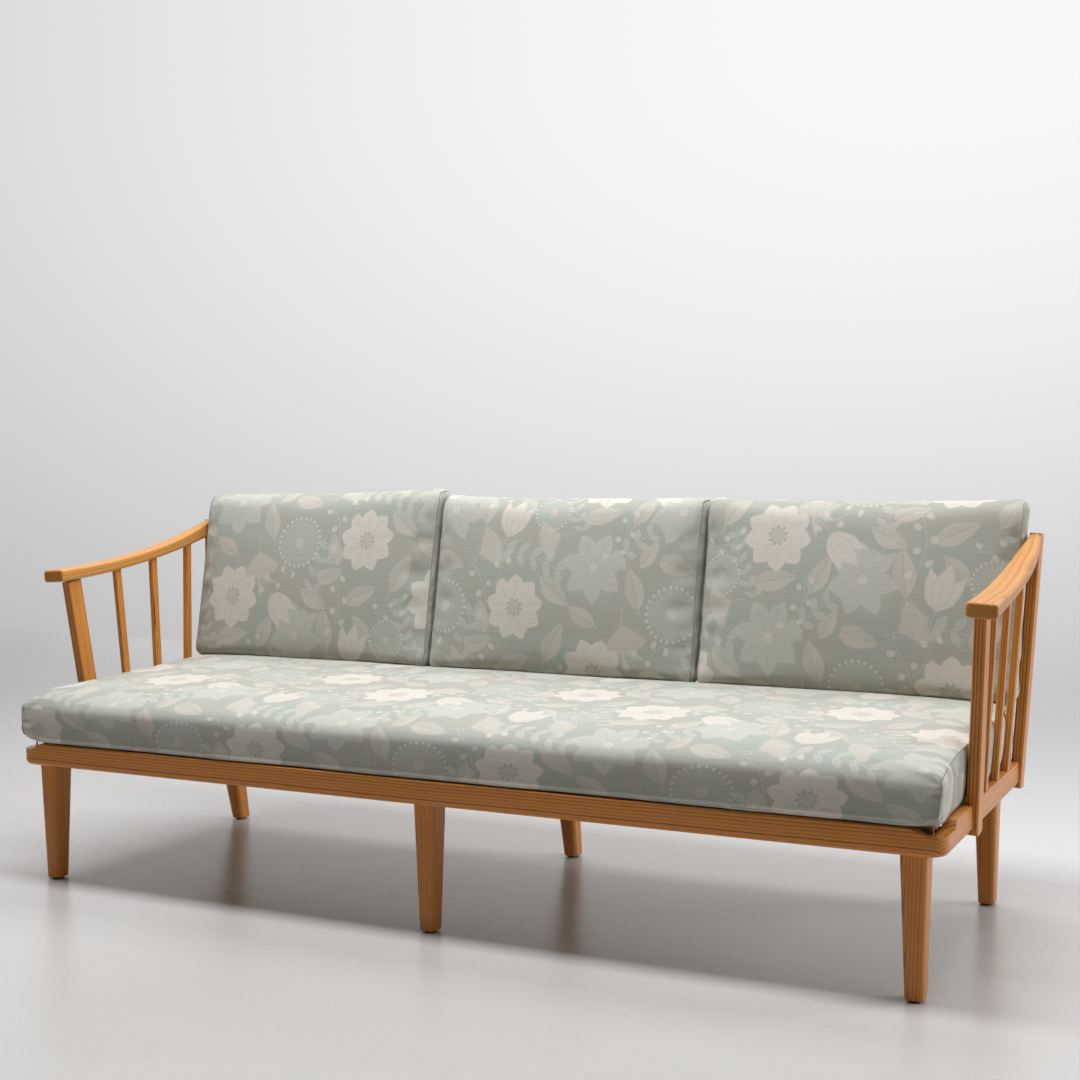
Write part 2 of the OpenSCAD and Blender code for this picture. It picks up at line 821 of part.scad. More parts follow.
module top_rail_screw_pair(extra) {
    for (share = [0.25, 0.75])
        back_frame()
            translate([top_rail_half_l - top_screw_in, rail_t / 2, top_rail_low + share * top_rail_h])
            rotate([-90, 0, 0]) screw(post_screw_d, top_screw_l, extra);
}

module top_rail_screws() {
    color(zinc) in_place() for (side = [-1, 1]) mirrored(side) top_rail_screw_pair(0);
}

// Cushions. A section is four corners, rounded and joined by bowed sides, counter-clockwise

// Points between p and q at the shares ts, bowed out to the right by up to bow
function bowed(p, q, bow, ts, power) =
    let (along = (q - p) / norm(q - p), out = [along[1], -along[0]])
    [for (t = ts) p + (q - p) * t + bow * (1 - pow(abs(2 * t - 1), power)) * out];

// Rounded edge about c, from angle a0, with its seam standing out at the middle
function seam_arc(c, r, a0, n, seam) = [
    for (k = [0:n]) let (a = a0 + 90 * k / n)
        c + (r + (2 * k == n ? seam : 0)) * [cos(a), sin(a)]
];

// Shares of a side, n of them, crowded towards its ends
function shares(n) = [for (k = [1:n]) (1 - cos(180 * k / (n + 1))) / 2];

function section(corners, radii, bows, steps, power, fine, seam) =
    let (inward = [[1, 1], [-1, 1], [-1, -1], [1, -1]],
         arcs = [for (q = [0:3])
             seam_arc(corners[q] + radii[q] * inward[q], radii[q], 180 + 90 * q, fine, seam)])
    [for (q = [0:3])
        each concat(arcs[q], bowed(arcs[q][fine], arcs[(q + 1) % 4][0], bows[q], steps[q], power))];

// Ring half way in across a cushion's end, from the end's own ring
function end_ring(ring) = let (m = ring_middle(ring)) [for (p = ring) (p + m) / 2];

// Rings along a cushion whose section at x, pulled in by e, is section_at(x, e)
function cushion_rings(section_at, half_l, end_r, middles, draw) =
    let (turns = middles > 3 ? [90, 60, 30, 0] : [90, 45, 0],
         ends = [for (a = turns) [half_l - end_r * (1 - sin(a)), end_r * (1 - cos(a))]],
         last = len(ends) - 1,
         between = [for (k = [1:middles]) [(2 * k / (middles + 1) - 1) * (half_l - end_r), 0]],
         stations = concat([for (s = ends) [-s[0], s[1]]], between, [for (k = [0:last]) ends[last - k]]),
         rings = [for (s = stations)
             let (flat = section_at(s[0], s[1]), z = [for (p = flat) p[1]], low = min(z), high = max(z))
             [for (p = flat)
                 let (v = (2 * p[1] - low - high) / (high - low))
                 [s[0] * (1 - draw / half_l * (1 - v * v)), p[0], p[1]]]])
    concat([end_ring(rings[0])], rings, [end_ring(rings[len(rings) - 1])]);

// The seat cushion
seat_half_l = (frame_l - seat_short) / 2;
seat_end_r = 20;
seat_z = rail_top + soft_fit;
seat_gap = 1;
seat_back_y = back_rail_y + (rail_t - spindle_t) / 2 - seat_gap;
seat_radii = [10, 10, 9, 9];
seat_end_crown = 0.85;
seat_power = 6;

// Section of the seat at x, pulled in by e, with every face set back by inset
function seat_section(x, e, inset, fine, seam) =
    let (far = abs(x) / seat_half_l,
         y0 = front_most + inset + e + seat_draw * (1 - far * far),
         y1 = seat_back_y - inset - e,
         z0 = seat_z + inset + e / 2,
         drop = inset + e / 2,
         crown = seat_crown * (seat_end_crown + (1 - seat_end_crown) * (1 - pow(far, 8))))
    section(
        [[y0, z0], [y1, z0], [y1, seat_z + seat_back_h - drop], [y0, seat_z + seat_front_h - drop]],
        [for (r = seat_radii) r - inset], [0, 0, crown, -2],
        fine ? [[0.5], [0.5], shares(7), [0.25, 0.5, 0.75]] : [[], [], shares(4), [0.5]],
        seat_power, fine ? 4 : 2, seam);

function seat_skin(inset) = cushion_rings(
    function (x, e) seat_section(x, e, inset, inset == 0, inset == 0 ? seam_h : 0),
    seat_half_l - inset, seat_end_r - inset, inset == 0 ? 7 : 3, 0);

// Zips, each a closed tape sunk into a flat side of its cover
zip_w = 9;
zip_t = 1.2;
zip_depth = 1.4;
seat_zip_l = seat_half_l * 1.2;

module seat_zip_frame() {
    translate([0, seat_back_y, seat_z + seat_back_h / 2]) rotate([90, 0, 0]) children();
}

module seat_cover() {
    color(sage) in_place() difference() {
        loft(seat_skin(0));
        loft(seat_skin(cover_t));
        seat_zip_frame() zip_room(seat_zip_l);
    }
}

module seat_foam() {
    color(foam_yellow) in_place() loft(seat_skin(cover_t + soft_fit));
}

module zip(l) {
    translate([0, 0, zip_depth - zip_t]) linear_extrude(zip_t) square([l, zip_w], center = true);
}

module zip_room(l) {
    translate([0, 0, -overshoot]) linear_extrude(overshoot + zip_depth)
        square([l + 2 * fit, zip_w + 2 * fit], center = true);
}

module seat_zip() {
    color(zinc) in_place() seat_zip_frame() zip(seat_zip_l);
}

// The back cushions lean on the back frame and stand on the seat where it is highest
back_half_w = (frame_l - back_row_short - 2 * back_cushion_gap) / 6;
back_cushion_pitch = 2 * back_half_w + back_cushion_gap;
back_end_r = 22;
back_rest_z = max([for (r = seat_skin(0), p = r) p[2]]) + soft_fit;
back_radii = [16, 14, 26, 22];
back_power = 3;
back_cushion_top = rail_top + top_rail_rise + top_rail_h + back_cushion_rise;

// Middle of the top rail's rounded upper front edge, as depth and height
rest_edge = let (y = rail_edge_r - rail_t / 2, z = top_rail_low + top_rail_h - rail_edge_r)
    [back_rail_y + rail_t / 2 + y * cos(back_lean) + z * sin(back_lean),
     rail_top - y * sin(back_lean) + z * cos(back_lean)];

// Depth of a back cushion's faces at a height z
function back_front_y(z) = back_rail_y - back_cushion_front + (z - back_rest_z) * tan(back_cushion_lean);
function back_rear_y(z) = rest_edge[0] + (z - rest_edge[1]) * tan(back_cushion_lean)
    - (rail_edge_r + 2 * soft_fit) / cos(back_cushion_lean);

function back_section(x, e, inset, fine, seam) =
    let (far = abs(x) / back_half_w,
         drop = inset + e,
         radii = [for (r = back_radii) r - inset],
         z0 = back_rest_z + inset + e / 2,
         z1 = back_cushion_top - drop - back_cushion_draw * (1 - far * far),
         full = 1 - pow(far, 4))
    section(
        [[back_front_y(z0 + radii[0]) + drop, z0], [back_rear_y(z0 + radii[1]) - drop, z0],
         [back_rear_y(z1 - radii[2]) - drop, z1], [back_front_y(z1 - radii[3]) + drop, z1]],
        radii, [0, 0, back_cushion_draw * full, back_cushion_crown * full],
        fine ? [[0.5], [0.25, 0.5, 0.75], shares(3), shares(5)] : [[], [0.5], [0.5], shares(2)],
        back_power, fine ? 4 : 2, seam);

function back_cushion_skin(inset) = cushion_rings(
    function (x, e) back_section(x, e, inset, inset == 0, inset == 0 ? seam_h : 0),
    back_half_w - inset, back_end_r - inset, inset == 0 ? 5 : 3, back_cushion_draw);

// Moves what it holds so that the whole outline, from the seat's front to the top rail, is centred
rail_rear = back_rail_y + rail_t / 2 * (1 + cos(back_lean))
    + (top_rail_low + top_rail_h - rail_edge_r) * sin(back_lean);
rear_most = max(rail_rear, max([for (r = back_cushion_skin(0), p = r) p[1]]));

module in_place() {
    translate([0, -(front_most + rear_most) / 2, 0]) children();
}

back_zip_l = back_half_w * 1.5;

module back_zip_frame() {
    translate([0, (back_front_y(back_rest_z) + back_rear_y(back_rest_z)) / 2, back_rest_z]) children();
}

module back_cover(place) {
    color(sage) in_place() translate([place * back_cushion_pitch, 0, 0]) difference() {
        loft(back_cushion_skin(0));
        loft(back_cushion_skin(cover_t));
        back_zip_frame() zip_room(back_zip_l);
    }
}

module back_foam(place) {
    color(foam_yellow) in_place() translate([place * back_cushion_pitch, 0, 0])
        loft(back_cushion_skin(cover_t + soft_fit));
}

module back_zip(place) {
    color(zinc) in_place() translate([place * back_cushion_pitch, 0, 0]) back_zip_frame() zip(back_zip_l);
}

module left_back_cover() {
    back_cover(-1);
}

module left_back_foam() {
    back_foam(-1);
}

module left_back_zip() {
    back_zip(-1);
}

module centre_back_cover() {
    back_cover(0);
}

module centre_back_foam() {
    back_foam(0);
}

module centre_back_zip() {
    back_zip(0);
}

module right_back_cover() {
    back_cover(1);
}

module right_back_foam() {
    back_foam(1);
}

module right_back_zip() {
    back_zip(1);
}

front_rail();
back_rail();
left_side_rail();
right_side_rail();
centre_rail();
front_left_block();
front_right_block();
rear_left_block();
rear_right_block();
front_left_ledge();
front_right_ledge();
rear_left_ledge();
rear_right_ledge();
left_seat_slats();
right_seat_slats();
front_left_leg();
front_centre_leg();
front_right_leg();
rear_left_leg();
rear_centre_leg();
rear_right_leg();
front_left_post();
front_right_post();
rear_left_post();
rear_right_post();
left_armrest();
right_armrest();
left_arm_spindle_1();
left_arm_spindle_2();
left_arm_spindle_3();
right_arm_spindle_1();
right_arm_spindle_2();
right_arm_spindle_3();
top_rail();
left_back_spindles();
centre_back_spindles();
right_back_spindles();
foot_glides();
leg_bolts();
rail_dowels();
arm_dowels();
post_screws();
top_rail_screws();
slat_screws();
seat_cover();
seat_foam();
seat_zip();
left_back_cover();
left_back_foam();
left_back_zip();
centre_back_cover();
centre_back_foam();
centre_back_zip();
right_back_cover();
right_back_foam();
right_back_zip();
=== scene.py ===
"""Looks of the three-seat sofa: pine frame, printed cushions, floor, light and camera.

Shapes are written in millimetres: x along the seat from its middle, y back from the front rail's face,
z up from the floor. What goes to Blender is in metres in the part's frame."""
import math
from functools import partialmethod
from itertools import product

import bmesh
import bpy
from mathutils import Matrix, Vector, noise
from mathutils.kdtree import KDTree


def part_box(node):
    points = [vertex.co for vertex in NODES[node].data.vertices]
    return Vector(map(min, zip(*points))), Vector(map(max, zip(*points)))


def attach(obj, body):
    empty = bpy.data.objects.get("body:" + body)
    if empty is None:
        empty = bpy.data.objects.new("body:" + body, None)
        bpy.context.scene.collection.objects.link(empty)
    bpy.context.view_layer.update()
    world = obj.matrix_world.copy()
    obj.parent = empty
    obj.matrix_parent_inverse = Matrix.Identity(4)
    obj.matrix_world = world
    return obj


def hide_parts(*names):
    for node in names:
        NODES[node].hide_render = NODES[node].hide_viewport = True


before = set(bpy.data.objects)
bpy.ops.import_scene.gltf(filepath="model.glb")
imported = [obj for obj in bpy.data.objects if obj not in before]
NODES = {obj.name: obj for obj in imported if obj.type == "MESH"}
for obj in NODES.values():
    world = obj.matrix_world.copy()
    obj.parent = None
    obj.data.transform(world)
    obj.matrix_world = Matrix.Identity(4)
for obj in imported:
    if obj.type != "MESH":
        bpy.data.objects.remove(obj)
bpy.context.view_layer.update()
scene = bpy.context.scene

# The photograph's frame starts at the front rail's face, the part's at its middle
FRONT_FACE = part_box("front_rail")[0].y
MM, TO_MM = 0.001, 1000
rad = math.radians


def place(x, y, z):
    """Point given in millimetres from the front rail's face and the floor."""
    return Vector((x * MM, y * MM + FRONT_FACE, z * MM))


# Camera, solved from the photograph's rails, legs and arms
CAMERA_YAW, CAMERA_PITCH, CAMERA_ROLL = 26.273, -2.616, -0.298
CAMERA_PLACE = place(1565, -2639, 914)
LENS_MM, SENSOR_MM = 54.577, 36
PRINCIPAL_SHIFT = -0.01106


def add_camera():
    yaw, pitch, roll = rad(CAMERA_YAW), rad(CAMERA_PITCH), rad(CAMERA_ROLL)
    right = Vector((math.cos(yaw), math.sin(yaw), 0))
    ahead = Vector((-math.sin(yaw) * math.cos(pitch), math.cos(yaw) * math.cos(pitch), math.sin(pitch)))
    up = right.cross(ahead)
    turned_right = right * math.cos(roll) + up * math.sin(roll)
    turned_up = up * math.cos(roll) - right * math.sin(roll)
    data = bpy.data.cameras.new("camera")
    data.sensor_width = SENSOR_MM
    data.lens = LENS_MM
    data.shift_y = PRINCIPAL_SHIFT
    camera = bpy.data.objects.new("camera", data)
    turn = Matrix((turned_right, turned_up, -ahead)).transposed()
    camera.matrix_world = Matrix.Translation(CAMERA_PLACE) @ turn.to_4x4()
    scene.collection.objects.link(camera)
    scene.camera = camera


# Softness of the print's edges and of its fine lines, in millimetres
SOFT, FINE = 0.9, 0.8


class Num:
    """A number in a node tree, so that a pattern is written as plain sums."""

    def __init__(self, socket):
        self.tree, self.socket = socket.id_data, socket

    def op(self, operation, *others, clamp=False):
        node = self.tree.nodes.new("ShaderNodeMath")
        node.operation = operation
        node.use_clamp = clamp
        for i, value in enumerate((self, *others)):
            feed(node, i, value)
        return Num(node.outputs[0])

    __add__ = partialmethod(op, "ADD")
    __sub__ = partialmethod(op, "SUBTRACT")
    __mul__ = partialmethod(op, "MULTIPLY")
    __truediv__ = partialmethod(op, "DIVIDE")
    abs = partialmethod(op, "ABSOLUTE")
    fract = partialmethod(op, "FRACT")
    sqrt = partialmethod(op, "SQRT")
    most = partialmethod(op, "MAXIMUM")
    least = partialmethod(op, "MINIMUM")

    def times(self, factor):
        """The product, held between 0 and 1."""
        return self.op("MULTIPLY", factor, clamp=True)

    def inside(self, width=SOFT):
        """1 where the number is above 0, 0 below, softened over a width."""
        return self.op("MULTIPLY_ADD", 1 / width, 0.5, clamp=True)

    def under(self, limit, soft=SOFT):
        """1 where the number is under a limit."""
        return (self * -1 + limit).inside(soft)

    def line(self, half, soft=FINE):
        """1 on a line about 0, given half its width."""
        return self.abs().under(half, soft)

    def bow(self):
        """Arch that is 1 at 0 and 0 at -1 and 1, as half a petal's outline is."""
        return self * self * -1 + 1

    def past_ends(self):
        """The number, held just outside -1 and 1."""
        return self.most(-1.3).least(1.3)


def node_of(tree, kind, **settings):
    node = tree.nodes.new(kind)
    for key, value in settings.items():
        setattr(node, key, value)
    return node


def feed(node, name, value):
    """Links or sets one input of a node, by its name or number."""
    entry = node.inputs[name]
    if isinstance(value, Num):
        node.id_data.links.new(value.socket, entry)
    elif isinstance(value, bpy.types.NodeSocket):
        node.id_data.links.new(value, entry)
    else:
        entry.default_value = value


def vector_math(operation, vector, *others):
    node = node_of(vector.id_data, "ShaderNodeVectorMath", operation=operation)
    for i, value in enumerate((vector, *others)):
        feed(node, i, value)
    return node.outputs["Value" if operation in ("DOT_PRODUCT", "LENGTH") else "Vector"]


def reach_along(vector, axis):
    """How far a vector reaches along an axis."""
    return Num(vector_math("DOT_PRODUCT", vector, tuple(axis)))


def length_of(vector):
    return Num(vector_math("LENGTH", vector))


def combine(x, y, z=0.0):
    node = node_of(x.tree, "ShaderNodeCombineXYZ")
    for name, value in zip("XYZ", (x, y, z)):
        feed(node, name, value)
    return node.outputs[0]


def places_of(tree, kind):
    return node_of(tree, "ShaderNodeTexCoord").outputs[kind]


def noise_of(vector, scale, detail=2.0, rough=0.5):
    node = node_of(vector.id_data, "ShaderNodeTexNoise")
    feed(node, "Vector", vector)
    feed(node, "Scale", scale)
    feed(node, "Detail", detail)
    feed(node, "Roughness", rough)
    return Num(node.outputs["Fac"])


def stretched_noise(vector, scales, detail=2.0, rough=0.5):
    """Noise with its own scale along each axis."""
    return noise_of(vector_math("MULTIPLY", vector, scales), 1.0, detail, rough)


def ramp(value, stops):
    node = node_of(value.tree, "ShaderNodeValToRGB")
    feed(node, "Fac", value)
    elements = node.color_ramp.elements
    while len(elements) < len(stops):
        elements.new(0.5)
    for element, (position, color) in zip(elements, stops):
        element.position = position
        element.color = (*color, 1)
    return node.outputs["Color"]


def mixed(tree, share, first, second, blend="MIX"):
    node = node_of(tree, "ShaderNodeMix", data_type="RGBA", blend_type=blend)
    feed(node, 0, share)
    for index, value in ((6, first), (7, second)):
        feed(node, index, (*value, 1) if isinstance(value, tuple) else value)
    return node.outputs[2]


def shaded(color, streak):
    """A colour made darker where a streak is above 0, and paler below."""
    shade = streak * -1 + 1
    return mixed(streak.tree, 1.0, color, combine(shade, shade, shade), "MULTIPLY")


def bump(height, distance, strength):
    node = node_of(height.tree, "ShaderNodeBump")
    feed(node, "Height", height)
    feed(node, "Distance", distance)
    feed(node, "Strength", strength)
    return node.outputs["Normal"]


def eye_rays(path):
    """1 for rays that the eye follows, straight or by mirrors and glass, and 0 for the others."""
    rays = [Num(path.outputs[f"Is {kind} Ray"]) for kind in ("Camera", "Glossy", "Transmission")]
    return rays[0].most(rays[1]).most(rays[2])


def mixed_shaders(share, first, second):
    node = node_of(share.tree, "ShaderNodeMixShader")
    feed(node, 0, share)
    feed(node, 1, first.outputs[0])
    feed(node, 2, second.outputs[0])
    return node.outputs[0]


def new_material(name, roughness, **constants):
    """A material with its shader's plain settings. Returns it with its tree and shader."""
    material = bpy.data.materials.new(name)
    material.use_nodes = True
    tree = material.node_tree
    shader = tree.nodes["Principled BSDF"]
    shader.inputs["Roughness"].default_value = roughness
    for key, value in constants.items():
        shader.inputs[key].default_value = value
    return material, tree, shader


def srgb(red, green, blue):
    """Linear colour of an 8-bit one."""
    return tuple(c / 12.92 if c <= 0.04045 else ((c + 0.055) / 1.055) ** 2.4
                 for c in (red / 255, green / 255, blue / 255))


def grey(tone):
    return srgb(tone, tone, tone)


def stain(*tones):
    return {name: srgb(*tone) for name, tone in zip(("light", "middle", "dark", "line"), tones)}


# Stained wood, the legs' plainer cut, the armrests, the corner blocks' dark brown, which is painted shade,
# and the unstained pine
HONEY = stain((224, 153, 74), (207, 130, 50), (142, 71, 14), (88, 36, 4))
SMOOTH = stain((222, 150, 72), (208, 130, 50), (168, 92, 26), (126, 62, 14))
GOLDEN = stain((208, 150, 82), (198, 137, 67), (186, 120, 52), (164, 98, 38))
BLOCK_PAINTED_SHADE = stain((112, 76, 44), (100, 66, 36), (78, 48, 22), (60, 34, 14))
PLAIN = stain((226, 196, 150), (214, 180, 130), (186, 142, 92), (160, 112, 66))
SATIN = 0.36
LACQUER = {"Coat Weight": 0.05, "Coat Roughness": 0.3, "Specular IOR Level": 0.34}
# How dark a year's wood is from its start to its end
LATE_WOOD = ((0.0, 0.0), (0.4, 0.06), (0.72, 0.5), (0.86, 1.0), (0.95, 0.5), (1.0, 0.0))
# How far the grain wanders over a member's length and over a hand's breadth
WANDER, WAVE_SIDE, WAVE_FACE = 13, 3.2, 2.0
GRAIN_RELIEF = 0.00022
STRAIGHT = (0, 1)


def wood(name, along, middle, pith, ring, tones, seed, sag):
    """Softwood whose grain runs along a direction, with its growth rings about a pith line.

    The pith lies to the side of the member's middle, by two distances in millimetres. A bent member
    sags below its chord by a depth, over half its length."""
    material, tree, shader = new_material(name, SATIN, **LACQUER)
    grain = Vector(along).normalized()
    side = grain.cross(Vector((0, 0, 1)) if abs(grain.z) < 0.7 else Vector((0, 1, 0))).normalized()
    face = side.cross(grain)
    local = vector_math("SUBTRACT", places_of(tree, "Object"), tuple(middle))
    run, a, b = (reach_along(local, axis) * TO_MM for axis in (grain, side, face))
    b = b + (run * run * (-1 / sag[1] ** 2) + 1) * sag[0]
    drift = combine(run * 0.0022 + seed, a * 0.004, b * 0.004)
    wander = noise_of(drift, 1.0) - 0.5
    wave = noise_of(combine(run * 0.012 + seed, a * 0.02, b * 0.02), 1.0) - 0.5
    from_a = a - pith[0] + wander * WANDER + wave * WAVE_SIDE
    from_b = b - pith[1] + wander * WANDER + wave * WAVE_FACE
    rings = (from_a * from_a + from_b * from_b).sqrt() / ring
    jitter = noise_of(combine(run * 0.05, a * 0.5, b * 0.5), 1.0) - 0.5
    phase = (rings + jitter * 0.22).fract()
    strong = node_of(tree, "ShaderNodeTexWhiteNoise", noise_dimensions="1D")
    feed(strong, "W", rings.op("FLOOR") + seed)
    strength = Num(strong.outputs["Value"]) * 0.5 + 0.55
    late = Num(ramp(phase, [(at, (dark,) * 3) for at, dark in LATE_WOOD])) * strength
    fibre = noise_of(combine(run * 0.035 + seed, a * 2.6, b * 2.6), 1.0, 3.0, 0.65)
    dash = noise_of(combine(run * 0.12, a * 5.5 + seed, b * 5.5), 1.0, 1.0)
    cloud = noise_of(combine(run * 0.004 + seed, a * 0.03, b * 0.03), 1.0, 3.0)
    base = mixed(tree, cloud, tones["light"], tones["middle"])
    base = mixed(tree, late.least(1.0), base, tones["dark"])
    base = mixed(tree, (late - 0.6).times(1.7), base, tones["line"])
    base = shaded(base, ((fibre - 0.5) * 0.42).most(-0.12))
    pores = (dash - 0.69).inside(0.05) * 0.4
    base = mixed(tree, pores, base, tones["line"])
    # End grain is darker
    outward = node_of(tree, "ShaderNodeNewGeometry").outputs["Normal"]
    sawn = (reach_along(outward, grain).abs() - 0.8).inside(0.2)
    base = mixed(tree, sawn * 0.45, base, tones["line"])
    feed(shader, "Base Color", base)
    feed(shader, "Roughness", late * 0.08 + fibre * 0.1 + (SATIN - 0.09))
    height = fibre * 0.5 - late * 0.35 - pores * 0.3
    feed(shader, "Normal", bump(height, GRAIN_RELIEF, 0.55))
    return material


# Repeat of the print, in millimetres, and its colours
TILE = (560.0, 430.0)
SAGE = srgb(165, 170, 159)
DRY = srgb(170, 166, 153)
PALE = srgb(186, 188, 177)
BLUSH = srgb(194, 187, 174)
CREAM = srgb(206, 199, 187)


class Spot:
    """Coordinates in millimetres about the nearest of a motif's places, wrapped round the repeat."""

    def __init__(self, tree, print_mm, places):
        spot = nearest = None
        half = (TILE[0] / 2, TILE[1] / 2, 1)
        for u, v, turn, size in places:
            moved = vector_math("SUBTRACT", print_mm, (u, v, 0))
            moved = vector_math("WRAP", moved, half, tuple(-h for h in half))
            turned = node_of(tree, "ShaderNodeVectorRotate", rotation_type="Z_AXIS")
            feed(turned, "Vector", moved)
            feed(turned, "Angle", rad(-turn))
            scaled = vector_math("SCALE", turned.outputs[0])
            feed(scaled.node, "Scale", 1 / size)
            away = length_of(scaled)
            if spot is None:
                spot, nearest = scaled, away
            else:
                pick = node_of(tree, "ShaderNodeMix", data_type="VECTOR")
                feed(pick, 0, away.op("LESS_THAN", nearest))
                feed(pick, 4, spot)
                feed(pick, 5, scaled)
                spot, nearest = pick.outputs[1], nearest.least(away)
        parts = node_of(tree, "ShaderNodeSeparateXYZ")
        feed(parts, 0, spot)
        self.x, self.y = (Num(parts.outputs[i]) for i in (0, 1))
        self.r = nearest
        self.angle = self.y.op("ARCTAN2", self.x)


def sector(s, count):
    """Angle from the middle of the nearest of a ring's equal parts."""
    return ((s.angle * (count / (2 * math.pi)) + 0.5).fract() - 0.5) * (2 * math.pi / count)


def petals(s, count, inner, reach, width, full=0.35):
    """Ring of petals about the middle: how far inside a petal, and the places along and across it."""
    turn = sector(s, count)
    along, across = s.r * turn.op("COSINE"), s.r * turn.op("SINE")
    t = ((along - (inner + reach) / 2) * (2 / (reach - inner))).past_ends()
    half = t.bow() * (t * full + 1) * (width / 2)
    return half - across.abs(), along, across


def dashed(edge, off, run, pitch):
    """Stitched line that follows an edge at some distance outside it."""
    return (edge + off).line(0.75, SOFT) * ((run / pitch).fract() - 0.38).inside(0.2)


# Each motif takes a Spot and returns how much of each ink it lays, by the ink's name. Its sizes are in
# millimetres before its place in the layout enlarges it.

def daisy(s):
    """Flower of nine petals with a vein and two folds on each."""
    edge, along, across = petals(s, count=9, inner=12, reach=66, width=36)
    petal = edge.inside()
    vein = across.line(0.5) * along.under(50, 3.0)
    fold = (across.abs() - 5.5 + along * 0.02).line(0.4) * (along - 26).inside(3.0) * along.under(55, 3.0)
    button = s.r.under(13)
    dots = ((s.r / 4.4).fract() - 0.55).inside(0.3) * (s.angle * 7).op("SINE").inside(0.6)
    halo = dashed(edge, 3.4, along + across.abs(), 4.2)
    return {"cream": petal * (vein * -0.6 + 1) * (fold * -0.35 + 1) * (button * -1 + 1),
            "blush": (button * (dots * -0.6 + 1)).most(halo * 0.9)}


def clock(s):
    """Seed clock: fine rays that end in dots about a small heart."""
    across = s.r * sector(s, 26).op("SINE")
    ray = across.line(0.55) * (s.r - 14).inside() * s.r.under(46)
    out = s.r - 49
    seed = (out * out + across * across).sqrt().under(3.1)
    low = s.r - 35
    bead = (low * low + across * across).sqrt().under(1.7)
    heart = s.r.under(11) * ((s.r - 6).line(0.7) * -0.7 + 1)
    veil = s.r.under(47) * 0.35
    return {"pale": ray.most(bead).most(veil), "cream": seed * 0.8, "blush": heart}


def fan(s):
    """Fan-shaped leaf with a notched rim, fine ribs and a long stalk."""
    opening = s.angle.abs() * -1 + 0.92
    rim = (s.angle * 9).op("COSINE") * 1.5 - (s.angle.abs() * -14 + 1.6).most(0) * 5 + 56
    edge = (rim - s.r).least(opening * s.r)
    blade = edge.inside()
    ribs = ((s.angle * (34 / (2 * math.pi))).fract() - 0.72).inside(0.16) * (s.r - 16).inside(2.0)
    stalk = (s.y - s.x * s.x * 0.006).line(0.9, SOFT) * (s.x * -1).inside() * (s.x + 34).inside()
    band = (s.r - rim + 9).line(0.6)
    stitch = dashed(edge, 3.2, s.r + s.angle.abs() * 40, 4.0)
    return {"blush": blade * (ribs * -0.42 + 1) * (band * -0.5 + 1), "pale": stalk.most(stitch)}


def broad_leaf(s, length=88, width=40):
    """Leaf with a midrib, slanting veins and one half darker."""
    t = (s.x * (2 / length)).past_ends()
    edge = t.bow() * (t * -0.3 + 1) * (width / 2) - s.y.abs()
    blade = edge.inside()
    rib = s.y.line(0.8)
    veins = (((s.x + s.y.abs() * 1.2) / 8.5).fract() - 0.8).inside(0.14)
    lower = s.y.inside(1.5)
    stalk = s.y.line(0.9, SOFT) * (s.x * -1 - length * 0.45).inside() * (s.x + length * 0.68).inside()
    return {"blush": blade * (rib * -0.9 + 1) * (veins * -0.3 + 1) * (lower * -0.28 + 1), "pale": stalk}


def stem_line(s, length, bend):
    """Place across a bowed stem, and 1 within its length."""
    return s.y - (s.x * (math.pi / length)).op("COSINE") * bend, s.x.abs().under(length / 2)


def branch(s, length=216, pitch=36, bend=18):
    """Bowed stem with a pair of small leaves at each step."""
    y, within = stem_line(s, length, bend)
    stem = y.line(0.9, SOFT) * within
    cell = ((s.x / pitch).fract() - 0.5) * pitch
    v = y.abs() - 14.5
    leaf_x = cell * 0.6 + v * 0.8
    leaf_y = v * 0.6 - cell * 0.8
    t = (leaf_x / 18).past_ends()
    edge = t.bow() * 8.6 - leaf_y.abs()
    leaf = edge.inside() * s.x.abs().under(length / 2 - 6)
    rib = leaf_y.line(0.55)
    hatch = ((leaf_x / 4.2).fract() - 0.7).inside(0.2) * leaf_y.inside(0.8)
    return {"pale": stem.most(leaf * (rib * -0.75 + 1) * (hatch * -0.3 + 1))}


def berry_twig(s, length=150, pitch=25, bend=-18):
    """Bowed stem with a berry on a stalk at each step, by turns on its two sides."""
    y, within = stem_line(s, length, bend)
    stem = y.line(0.8, SOFT)
    turn = (s.x / pitch).op("FLOOR").op("MODULO", 2.0).abs() * 2 - 1
    cell = ((s.x / pitch).fract() - 0.5) * pitch
    out = y * turn
    ball = (cell * cell + (out - 16) * (out - 16)).sqrt()
    berry = ball.under(7.6)
    shine = (ball - 4.6).line(0.6)
    stalk = cell.line(0.7, SOFT) * out.inside() * out.under(12)
    return {"pale": stem.most(stalk) * within, "cream": berry * (shine * -0.6 + 1) * within * 0.85}


